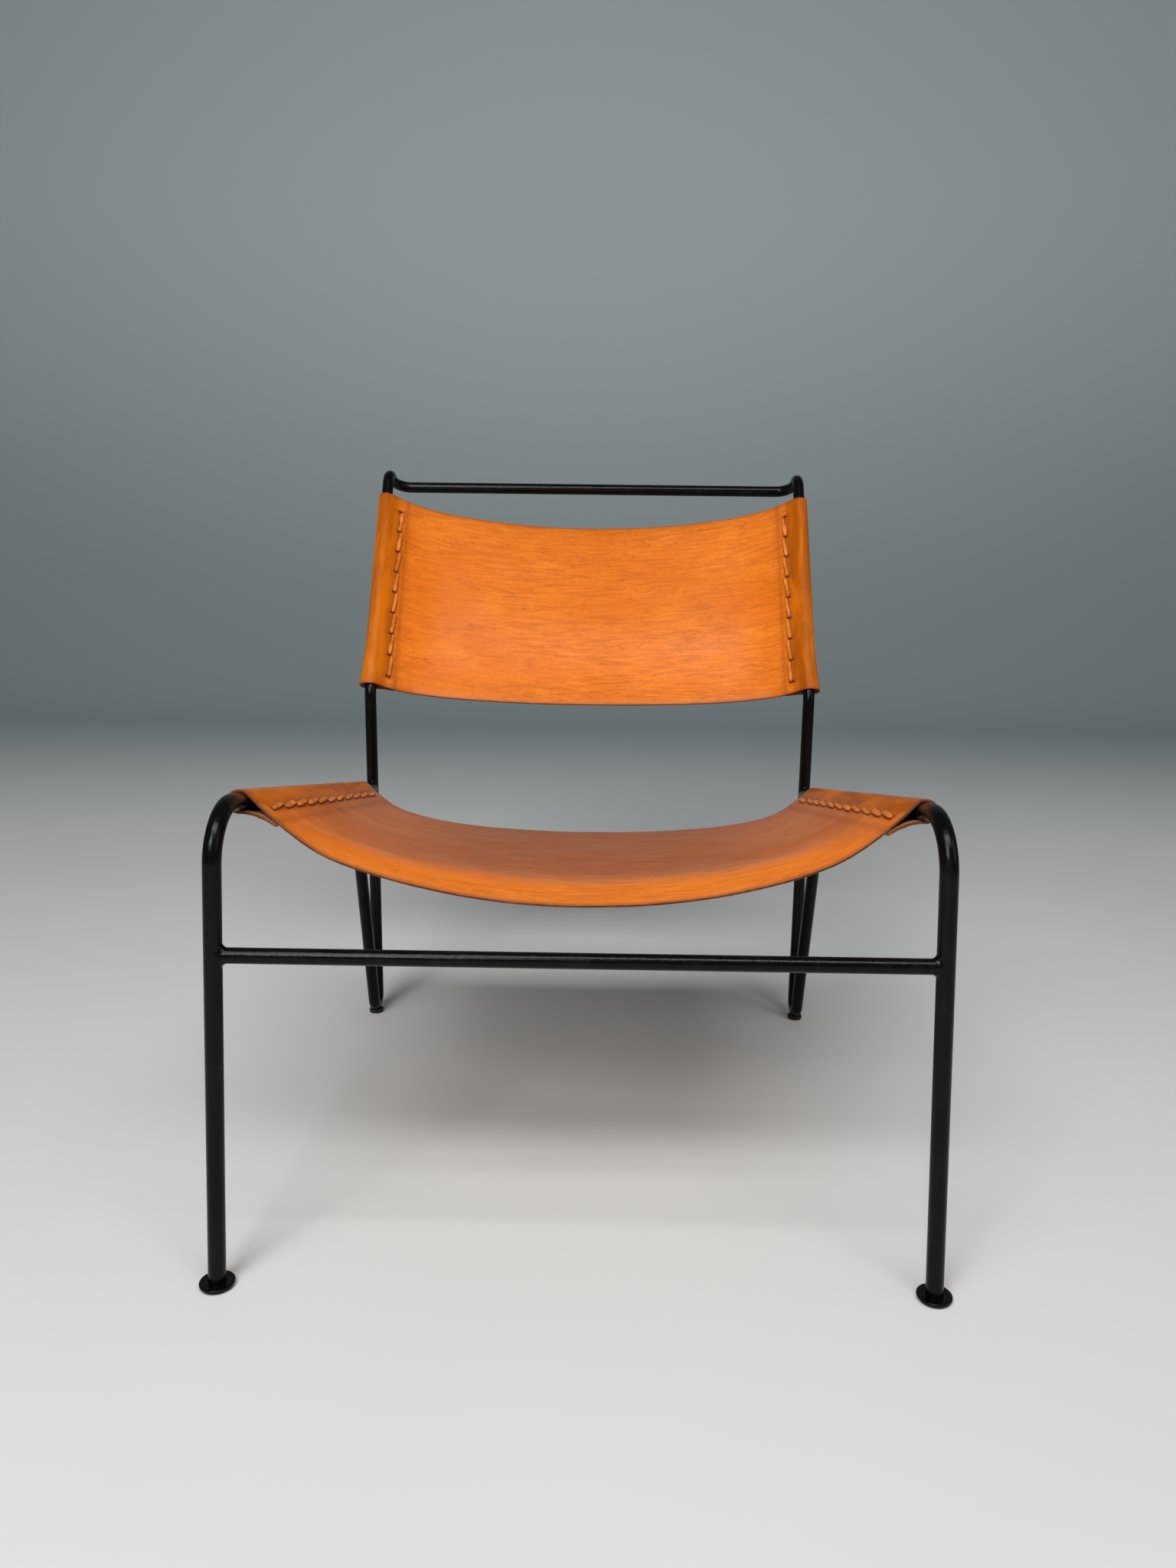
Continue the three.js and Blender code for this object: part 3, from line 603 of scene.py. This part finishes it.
for end, (label, side) in zip((0, -1), SIDES):
    rail_x = side * RAIL_X
    joint = on_side(rail_end, rail_x)
    side_rings = tube(bent_axis([vec(side * FOOT_X, FRONT_Y, LEG_BOTTOM), on_side(seat_corner, rail_x),
                                 joint - rail_along * LEG_BEND_RADIUS], [LEG_BEND_RADIUS]), BAR_RADIUS)
    side_rings[0][:, 2] = LEG_BOTTOM
    side_rings[-1] = cope(side_rings[-1], rail_along, joint, plumb, BAR_RADIUS + FIT_GAP)
    add_piece(f"side_bar_{label}", *skin(side_rings), lacquered)
    add_piece(f"rail_weld_{label}", *weld(side_rings[-1], joint, rail_along, plumb), lacquered)

    joint = on_side(brace_top, rail_x)
    corners = [joint - brace_along * 3 * BAR_RADIUS, *(on_side(p, rail_x) for p in (
        hairpin_corner, lean_corner, hook_corner, top_corner)), on_side(top_corner, side * hook_end)]
    radii = [HAIRPIN_RADIUS, LEAN_BEND_RADIUS, HOOK_BEND_RADIUS, TOP_BEND_RADIUS]
    back_rings = tube(bent_axis(corners, radii), BAR_RADIUS)
    back_rings[0] = cope(back_rings[0], brace_along, joint, rail_along, BAR_RADIUS + FIT_GAP)
    add_piece(f"back_bar_{label}", *skin(back_rings), lacquered)
    add_piece(f"brace_weld_{label}", *weld(back_rings[0], joint, brace_along, rail_along), lacquered)

    joint = vec(side * stretcher_x, FRONT_Y, STRETCHER_HEIGHT)
    outward = vec(side, 0, 0)
    leg = leg_along(side)
    stretcher_rings[end] = cope(stretcher_rings[end], outward, joint, leg, BAR_RADIUS + FIT_GAP)
    add_piece(f"stretcher_weld_{label}", *weld(stretcher_rings[end], joint, outward, leg), lacquered)

    for kind, look, edge_share in (("foot_disc", lacquered, 0.33), ("foot_pad", black_rubber, 0.25),
                                   ("rear_glide", black_rubber, 0.2)):
        low, high = (np.array(corner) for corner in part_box(f"{kind}_{label}"))
        width, height = high[0] - low[0], high[2] - low[2]
        disc = turned_disc((low + high) / 2, width, low[2], height, height * edge_share)
        add_piece(f"{kind}_{label}", *disc, look)

add_piece("front_stretcher", *skin(stretcher_rings), lacquered)
top_ends = [on_side(top_corner, side * hook_end) for _, side in SIDES]
add_piece("top_rail", *skin(tube(bent_axis(top_ends), BAR_RADIUS)), lacquered)


# Leather slings
# A section is drawn square to a bar, as x inward from the bar's axis and h out to the sitter's side.

WRAP_RADIUS = BAR_RADIUS + FIT_GAP + LEATHER / 2
ROW_OFFSETS = SLIT_HALF_WIDTH * np.array((-1.4, -1.2, -1, -0.5, 0, 0.5, 1, 1.2, 1.4))


class Section:
    """Half of a sling's section at one of its free edges."""

    def __init__(self, sag, flap_past_row):
        self.sag = sag
        self.start = WRAP_RADIUS * vec(math.sin(LEAVE_ANGLE), math.cos(LEAVE_ANGLE), 0)
        self.span = RAIL_X - self.start[0]
        self.bowl = (STEEP_POWER - math.tan(LEAVE_ANGLE) * self.span / sag) / (STEEP_POWER - 2)
        tip_x = ROW_INSET + flap_past_row
        slope = self.slope(tip_x)
        down = unit(np.array((slope, -1)))
        self.tip = np.array((tip_x, self.height(tip_x))) + down * (LEATHER + FLAP_TIP_GAP)
        self.bend_x = self.tip[0] - (WRAP_RADIUS + self.tip[1]) / slope

    def height(self, x):
        left = 1 - (x - self.start[0]) / self.span
        fall = self.bowl * (1 - left ** 2) + (1 - self.bowl) * (1 - left ** STEEP_POWER)
        return self.start[1] - self.sag * fall

    def slope(self, x):
        left = 1 - (x - self.start[0]) / self.span
        steep = self.bowl * 2 * left + (1 - self.bowl) * STEEP_POWER * left ** (STEEP_POWER - 1)
        return -self.sag / self.span * steep

    def flap(self, x):
        t = x / (self.bend_x + np.sqrt(self.bend_x ** 2 + (self.tip[0] - 2 * self.bend_x) * x))
        h = -WRAP_RADIUS * (1 - t ** 2) + self.tip[1] * t ** 2
        return np.stack((x, h), 1)

    def line(self):
        """The middle line from flap tip to mid-span, and the point counts of its first three runs."""
        row = ROW_INSET - FLAP_ROW_SKEW + ROW_OFFSETS[::-1]
        tip = self.tip[0] - TIP_INSETS
        under = row[-1] * UNDER_BAR_SHARES
        flap = self.flap(np.concatenate((tip, row, under)))
        steps = math.ceil((math.pi + LEAVE_ANGLE) / WRAP_STEP)
        turns = np.linspace(-math.pi, LEAVE_ANGLE, steps + 1)
        wrap = WRAP_RADIUS * np.stack((np.sin(turns), np.cos(turns)), 1)
        row = ROW_INSET + ROW_OFFSETS * math.cos(math.atan(self.slope(ROW_INSET)))
        before = np.linspace(self.start[0], row[0], 4)[1:-1]
        shares = np.linspace(0, 1, SPAN_COLUMNS + 1)[1:] ** SPAN_CROWDING
        beyond = row[-1] + (RAIL_X - row[-1]) * shares
        x = np.concatenate((before, row, beyond))
        top = np.stack((x, self.height(x)), 1)
        return np.concatenate((flap, wrap, top)), [len(flap), len(wrap), len(before)]


class Sling:
    """Leather between two bars, its section blended in straight lines from its first edge to its second."""

    def __init__(self, origin, along, out, length, sags, flap_past_row, holes,
                 looseness, lip, patina, notch=None):
        self.origin, self.along, self.out, self.length = origin, along, out, length
        self.holes, self.looseness, self.lip, self.patina, self.notch = holes, looseness, lip, patina, notch
        self.sections = [Section(sag, flap_past_row) for sag in sags]
        lines = [section.line() for section in self.sections]
        self.lines = [line for line, _ in lines]
        self.flap_count, self.wrap_count, before_count = lines[0][1]
        self.flap_row = len(TIP_INSETS) + len(ROW_OFFSETS) // 2
        self.top_row = self.flap_count + self.wrap_count + before_count + len(ROW_OFFSETS) // 2
        rise = math.pi / 2 + math.asin(NOTCH_RISE / WRAP_RADIUS)
        self.notch_columns = self.flap_count + round(rise / (math.pi + LEAVE_ANGLE) * (self.wrap_count - 1))

    def blended(self, distance):
        return self.lines[0] + (self.lines[1] - self.lines[0]) * (distance / self.length)

    def place(self, point, distance, side):
        spot = self.origin + self.along * distance + self.out * point[1]
        return on_side(spot, side * (RAIL_X - point[0]))

    def face(self, layer, distance, side):
        """The lace row on one layer: its place, its way inward and its normal towards the sitter."""
        line = self.blended(distance)
        row = self.top_row if layer == "top" else self.flap_row
        step = 1 if layer == "top" else -1
        a, b = (self.place(line[row + step * k], distance, side) for k in (-1, 1))
        inward = unit(b - a)
        normal = unit(np.cross(self.along, inward))
        return self.place(line[row], distance, side), inward, normal * np.sign(normal @ self.out)

    def stations(self):
        """Distances along the sling: close together at its free edges and round each slit."""
        marks = {*FREE_EDGE_INSETS, *(self.length - inset for inset in FREE_EDGE_INSETS), *(self.notch or ())}
        for hole in self.holes:
            marks.update(hole + sign * reach for sign in (-1, 1) for reach in SLIT_REACHES)
        marks = sorted(marks)
        filled = [marks[0]]
        for a, b in zip(marks, marks[1:]):
            filled.extend(np.linspace(a, b, math.ceil((b - a) / GRID_STEP) + 1)[1:])
        return np.array(filled)

    def flat_width(self):
        """The leather's width before it was folded and hung."""
        lengths = [2 * np.linalg.norm(np.diff(line, axis=0), axis=1).sum() for line in self.lines]
        return sum(lengths) / 2

    def relief(self, x, across, distance):
        """How far the leather stands off its smooth form: puckered slits, the flap's edge, soft waves."""
        from_row = (across - ROW_INSET) / PUCKER_ACROSS
        dips = sum(np.exp(-from_row ** 2 - ((distance - hole) / PUCKER_ALONG) ** 2) for hole in self.holes)
        tip = self.sections[0].tip[0]
        over_flap = 1 - smoothstep(tip - FLAP_STEP_BEFORE, tip + FLAP_STEP_PAST, across)
        broad = noise.noise(Vector((x * BROAD_WAVES[0], distance * BROAD_WAVES[1], self.length)))
        fine = noise.noise(Vector((x * FINE_WAVES[0], distance * FINE_WAVES[1], 3)))
        wave = broad + FINE_WAVE_SHARE * fine
        edge = min(distance, self.length - distance)
        roll = ROLL_DEPTH * max(0, 1 - edge / ROLL_REACH) ** 2
        crest = LIP_CREST_SHARE * math.exp(-((distance - LIP_CREST) / LIP_CREST_REACH) ** 2)
        lip = crest - max(0, 1 - distance / LIP_DROP_REACH) ** 2
        hanging = smoothstep(tip, tip + FREE_HANG_REACH, across)
        set_in = (WAVE_HEIGHT * wave + self.lip * lip) * hanging
        return FLAP_STEP_HEIGHT * over_flap - PUCKER_DEPTH * dips + set_in - roll

    def darkening(self, line, arc, distance):
        """Along one section: the shares of fold, dyed edge, painted shade along the stitch line and long use.
        """
        row_arc = arc[self.top_row]
        fold = 1 - smoothstep(row_arc - FOLD_FADE_START, row_arc - FOLD_FADE_END, arc)
        edge = min(distance, self.length - distance)
        dyed = max(math.exp(-edge / EDGE_DYE_REACH), EDGE_TINT * math.exp(-edge / EDGE_TINT_REACH))
        # Painted shade in the hollow along the lace row, deepest at each slit, partly burnish
        from_row = (arc - row_arc) / np.where(arc < row_arc, ROW_SHADE_OUTER, ROW_SHADE_INNER)
        near_slit = min(abs(distance - hole) for hole in self.holes)
        at_slit = math.exp(-(near_slit / SLIT_SHADE_REACH) ** 2)
        first, last = self.holes.min() - ROW_SHADE_PAST_END, self.holes.max() + ROW_SHADE_PAST_END
        depth = ROW_SHADE_SHARE + (1 - ROW_SHADE_SHARE) * at_slit
        stitch = np.exp(-from_row ** 2) * depth * (first < distance < last)
        # Painted shade along the line where the flap's edge lies under the top layer
        hanging = np.arange(len(line)) >= self.flap_count + self.wrap_count
        from_flap = (line[:, 0] - self.sections[0].tip[0] - FLAP_LINE) / FLAP_LINE_WIDTH
        stitch += FLAP_LINE_SHARE * hanging * np.exp(-from_flap ** 2)
        middle_share = USE_AT_BARS + (1 - USE_AT_BARS) * smoothstep(*USE_ACROSS, line[:, 0])
        return fold, dyed, stitch, self.patina * smoothstep(*USE_ALONG, distance) * middle_share

    def grid(self):
        """Middle-surface points, surface coordinates, and wear with painted shade, by station and column from
        tip to tip.
        """
        stations = self.stations()
        half = len(self.lines[0])
        columns = 2 * half - 1
        points = np.zeros((len(stations), columns, 3))
        surface = np.zeros((len(stations), columns, 2))
        wear = np.zeros((len(stations), columns, 4))
        wrap = slice(self.flap_count, self.flap_count + self.wrap_count)
        for row, distance in enumerate(stations):
            line = self.blended(distance)
            arc = np.concatenate(((0,), np.cumsum(np.linalg.norm(np.diff(line, axis=0), axis=1))))
            ahead = np.gradient(line, axis=0)
            normal = np.stack((-ahead[:, 1], ahead[:, 0]), 1) / np.linalg.norm(ahead, axis=1)[:, None]
            normal[-1] = (0, 1)
            loose = self.looseness * max(0, 1 - distance / LOOSE_REACH) ** 2
            turns = np.linspace(-math.pi, LEAVE_ANGLE, self.wrap_count)
            line[wrap] += normal[wrap] * (loose * np.maximum(0, np.sin(-turns)) ** LOOSE_POWER)[:, None]
            fold, dyed, stitch, use = self.darkening(line, arc, distance)
            for side, columns_of in ((-1, np.arange(half)), (1, columns - 1 - np.arange(half))):
                for k, column in enumerate(columns_of):
                    point = line[k]
                    if k >= wrap.stop:
                        x = side * (RAIL_X - point[0])
                        point = point + normal[k] * self.relief(x, point[0], distance)
                    points[row, column] = self.place(point, distance, side)
                    surface[row, column] = side * (arc[-1] - arc[k]), distance
                    wear[row, column] = fold[k], dyed, stitch[k], use[k]
        return stations, points, surface, wear

    def is_cut(self, station, column, columns):
        """Whether the patch after a station and a column is cut out, for a slit or for the brace's notch."""
        k = min(column, columns - 2 - column)
        if self.notch and self.notch[0] < station < self.notch[1]:
            return k < self.notch_columns
        if any(abs(station - hole) < SLIT_HALF_OPENING for hole in self.holes):
            return any(-SLIT_COLUMNS <= k - row < SLIT_COLUMNS for row in (self.flap_row, self.top_row))
        return False

    def piece(self, node):
        stations, points, surface, wear = self.grid()
        count, columns = points.shape[:2]
        faces = []
        for r in range(count - 1):
            for c in range(columns - 1):
                if not self.is_cut((stations[r] + stations[r + 1]) / 2, c, columns):
                    a = r * columns + c
                    faces.append((a, a + 1, a + columns + 1, a + columns))
        middle_column = columns // 2
        up = np.cross(points[0, middle_column + 1] - points[0, middle_column],
                      points[1, middle_column] - points[0, middle_column])
        if up @ self.out < 0:
            faces = [face[::-1] for face in faces]
        piece = add_piece(node, points.reshape(-1, 3), faces, grain_side, surface.reshape(-1, 2), wear)
        piece.data.materials.append(flesh_side)
        piece.data.materials.append(cut_side)
        thickness = piece.modifiers.new("thickness", "SOLIDIFY")
        thickness.thickness = LEATHER
        thickness.offset = 0
        thickness.use_even_offset = True
        thickness.material_offset = 1
        thickness.material_offset_rim = 2
        rounded = piece.modifiers.new("rounded_edges", "BEVEL")
        rounded.width = EDGE_ROUNDING
        rounded.material = 0
        rounded.segments = 2
        rounded.limit_method = "ANGLE"
        rounded.angle_limit = EDGE_ANGLE
        return piece


# Laces

thong_offset = (THONG_WAIST + THONG_GAP) / 2
thong_level = THONG_THICKNESS / 2 + THONG_CLEAR
noise.seed_set(STITCH_SEED)


def smooth_path(knots, steps=4):
    """A smooth line through knots of any width, each stretch a cubic led by its neighbours."""
    knots = np.asarray(knots)
    padded = np.concatenate((2 * knots[:1] - knots[1:2], knots, 2 * knots[-1:] - knots[-2:-1]))
    t = np.linspace(0, 1, steps, endpoint=False)[:, None]
    out = []
    for a, b, c, d in zip(padded, padded[1:], padded[2:], padded[3:]):
        curve, twist = 2 * a - 5 * b + 4 * c - d, 3 * b - a - 3 * c + d
        out.append(0.5 * (2 * b + (c - a) * t + curve * t ** 2 + twist * t ** 3))
    return np.concatenate(out + [knots[-1:]])


def add_lace(node, sling, side, rise):
    """A thong run down its row in and out of the slits, then back through the same slits beside itself."""
    holes = sling.holes
    last = len(holes) - 1
    knots = []

    def offset(layer, hole, other):
        if hole == last:
            return 0
        return thong_offset if (layer == "top") == (hole < other) else -thong_offset

    def knot(layer, hole, other, ahead, height, width, dive_shade, twist=0.0):
        """A point of the lace at a slit, moved ahead along the row and standing off the leather's face."""
        here, target = offset(layer, hole, other), holes[hole] + ahead
        if 0 <= other <= last:
            here += (offset(layer, other, hole) - here) * ahead
            target = holes[hole] + (holes[other] - holes[hole]) * ahead
        place, inward, normal = sling.face(layer, target, side)
        out = normal if layer == "top" else -normal
        knots.append((*(place + inward * here + out * (LEATHER / 2 + height)), *inward, width, dive_shade, twist))

    def half_stitch(layer, hole, other, leaving):
        """From inside a slit to the stitch's crown: share of the way, height, width, painted shade and twist.
        """
        shown = layer == "top"
        pitch = abs(holes[1] - holes[0])
        chance = noise.noise_vector(Vector((min(hole, other) * 1.7, side * 3.1, sling.length * 10 + shown)))
        up = rise * (1 + RISE_CHANCE * chance.x) if shown else rise * HIDDEN_RISE_SHARE
        wide = THONG_WIDTH * (1 + WIDTH_CHANCE * chance.y)
        twist = STITCH_TWIST_PER_RISE * rise * chance.z * shown * (1 if hole < other else -1)
        steps = [(0.0, -LEATHER / 2, THONG_WAIST, 1.0),
                 (0.0, SLIT_MOUTH, THONG_WAIST, 1.0),
                 (0.0003 / pitch, 0.0005, THONG_WAIST, 0.9),
                 (0.0012 / pitch, thong_level, THONG_WAIST * 1.08, 0.6),
                 (0.10, thong_level + 0.6 * up, wide * 0.90, 0.15, twist / 2),
                 (0.22, thong_level + up, wide, 0.0, twist),
                 (0.40, thong_level + up * 1.1, wide * 1.02, 0.0, twist)]
        for step in steps if leaving else reversed(steps):
            knot(layer, hole, other, *step)

    tail = -LACE_TAIL * np.sign(holes[1] - holes[0])
    knot("flap", 0, -1, tail, thong_level, THONG_WAIST, 0.0)
    knot("flap", 0, -1, tail * 0.3, thong_level, THONG_WAIST, 0.0)
    knot("flap", 0, -1, 0, SLIT_MOUTH, THONG_WAIST, 1.0)
    layer = "top"
    route = [*range(last + 1), *range(last - 1, -1, -1)]
    for k, (a, b) in enumerate(zip(route, route[1:])):
        half_stitch(layer, a, b, leaving=True)
        if k + 2 < len(route):
            half_stitch(layer, b, a, leaving=False)
        layer = "flap" if layer == "top" else "top"
    for share in (0, 1):
        place, inward, normal = sling.face("flap", holes[0] + tail * share, side)
        spot = place - inward * thong_offset - normal * (LEATHER / 2 + thong_level)
        knots.append((*spot, *inward, THONG_WAIST, 0.0, 0.0))

    path = smooth_path(knots)
    middle_line, inward = path[:, :3], path[:, 3:6]
    ahead = np.gradient(middle_line, axis=0)
    lengths = np.concatenate(((0,), np.cumsum(np.linalg.norm(np.diff(middle_line, axis=0), axis=1))))
    angles = np.linspace(0, 2 * math.pi, THONG_SIDES, endpoint=False)
    outline = np.sign(np.cos(angles)) * np.abs(np.cos(angles)) ** THONG_ROUNDNESS
    crown = np.sign(np.sin(angles)) * np.abs(np.sin(angles)) ** THONG_ROUNDNESS
    rings, surface, wear = [], [], []
    along_lace = zip(middle_line, inward, ahead, lengths, path[:, 6:])
    for point, wide, direction, length, (width, dive_shade, twist) in along_lace:
        wide = turned(wide, unit(direction), twist)
        thick = unit(np.cross(direction, wide))
        wide = unit(np.cross(thick, direction))
        flat = np.outer(outline * width / 2, wide)
        rings.append(point + flat + np.outer(crown * THONG_THICKNESS / 2, thick))
        surface += [(share, length) for share in outline]
        wear += [(dive_shade, 0, 0, 0)] * THONG_SIDES
    points, faces = skin(rings)
    if side * np.sign(holes[1] - holes[0]) < 0:
        faces = [face[::-1] for face in faces]
    return add_piece(node, points, faces, thong, surface, wear)


brace_skew = math.acos(brace_along @ rail_up)
notch_middle = (brace_top - seat_corner) @ rail_along - seat_front + WRAP_RADIUS * math.tan(brace_skew)
notch_half = (BAR_RADIUS + FIT_GAP + WELD_RADIUS) / math.cos(brace_skew) + NOTCH_EASE
seat_sling = Sling(seat_corner + rail_along * seat_front, rail_along, rail_up, SEAT_LENGTH, SEAT_SAGS,
                   SEAT_FLAP_PAST_ROW, seat_holes, SEAT_LOOSENESS, SEAT_LIP, SEAT_PATINA,
                   notch=(notch_middle - notch_half, notch_middle + notch_half))
back_sling = Sling(lean_corner + upright_along * back_bottom, upright_along, upright_front, BACK_LENGTH,
                   BACK_SAGS, BACK_FLAP_PAST_ROW, back_holes, BACK_LOOSENESS, -BACK_FLARE, BACK_PATINA)

for name, sling, bars, rise in (("seat", seat_sling, "side_bar", SEAT_STITCH_RISE),
                                ("back", back_sling, "back_bar", BACK_STITCH_RISE)):
    leather = sling.piece(f"{name}_sling")
    sling.flat_width()
    for label, side in SIDES:
        add_lace(f"{name}_lace_{label}", sling, side, rise)


# Floor, light and camera

def floor_look():
    """Pale floor paint, running into a greyer, cooler sweep behind the chair that lightens as it rises, its
    darker foot a painted shade where floor and backdrop meet.
    """
    look = Look("pale_floor")
    place = look.place()
    spot = look.node("SeparateXYZ", {"Vector": place}).outputs
    clouds = look.grain(place, 1.3, 4.0)
    floor = look.mixed(clouds, (0.64, 0.64, 0.63, 1), (0.70, 0.70, 0.687, 1))
    # Painted shade: the sweep is darkest at its foot and lightens as it rises
    sweep = look.mixed(look.ranged(spot["Z"], 0.3, 2.6), (0.38, 0.435, 0.44, 1), (0.62, 0.71, 0.73, 1))
    # The floor darkens towards the back into the sweep's painted shade
    colour = look.mixed(look.ranged(spot["Y"], 1.2, 3.4), floor, sweep)
    return look.finish(colour, 0.6, clouds, 0.0005)


def add_floor():
    """A pale floor that rises in one sweep into a backdrop behind the chair."""
    width, front, rear, radius, top = 50.0, -20.0, 3.2, 1.2, 9.0
    turns = np.linspace(0, math.pi / 2, 24)
    arc = [(rear + radius * math.sin(t), radius - radius * math.cos(t)) for t in turns]
    profile = [(front, 0.0), *arc, (rear + radius, top)]
    points = [(x, y, z) for y, z in profile for x in (-width / 2, width / 2)]
    faces = [(2 * k, 2 * k + 1, 2 * k + 3, 2 * k + 2) for k in range(len(profile) - 1)]
    mesh = bpy.data.meshes.new("floor")
    mesh.from_pydata(points, [], faces)
    mesh.polygons.foreach_set("use_smooth", [True] * len(faces))
    mesh.materials.append(floor_look())
    floor = bpy.data.objects.new("floor", mesh)
    bpy.context.scene.collection.objects.link(floor)


def add_light(name, place, aim, size, power):
    lamp = bpy.data.lights.new(name, "AREA")
    lamp.shape = "RECTANGLE"
    lamp.size, lamp.size_y = size
    lamp.energy = power
    light = bpy.data.objects.new(name, lamp)
    light.location = place
    light.rotation_euler = (Vector(aim) - Vector(place)).to_track_quat("-Z", "Y").to_euler()
    bpy.context.scene.collection.objects.link(light)


def add_camera():
    data = bpy.data.cameras.new("camera")
    data.sensor_fit = "VERTICAL"
    data.sensor_height = SENSOR_HEIGHT
    data.lens = FOCAL_PIXELS * SENSOR_HEIGHT / PHOTO_HEIGHT
    data.clip_start = 0.05
    camera = bpy.data.objects.new("camera", data)
    level = math.cos(CAMERA_PITCH)
    ahead = Vector((math.sin(CAMERA_YAW) * level, math.cos(CAMERA_YAW) * level, -math.sin(CAMERA_PITCH)))
    right = Vector((math.cos(CAMERA_YAW), -math.sin(CAMERA_YAW), 0))
    down = ahead.cross(right)
    rolled_right = math.cos(CAMERA_ROLL) * right + math.sin(CAMERA_ROLL) * down
    rolled_down = -math.sin(CAMERA_ROLL) * right + math.cos(CAMERA_ROLL) * down
    camera.matrix_world = Matrix((rolled_right, -rolled_down, -ahead)).transposed().to_4x4()
    camera.location = CAMERA_FROM_FEET + Vector((0, FRONT_Y, 0))
    bpy.context.scene.collection.objects.link(camera)
    bpy.context.scene.camera = camera


add_floor()
add_light("key", (-1.0, -2.9, 2.3), (0, 0, 0.45), (1.3, 1.1), 58)
add_light("overhead", (0.0, -1.8, 3.0), (0, 0, 0.3), (3.0, 0.9), 78)
add_light("fill", (2.6, -1.4, 1.7), (0, 0, 0.4), (1.6, 1.6), 8)
world = bpy.data.worlds.new("studio")
world.use_nodes = True
world.node_tree.nodes["Background"].inputs["Color"].default_value = (0.86, 0.90, 0.95, 1)
world.node_tree.nodes["Background"].inputs["Strength"].default_value = 0.16
bpy.context.scene.world = world
bpy.context.scene.view_settings.view_transform = "Standard"
add_camera()
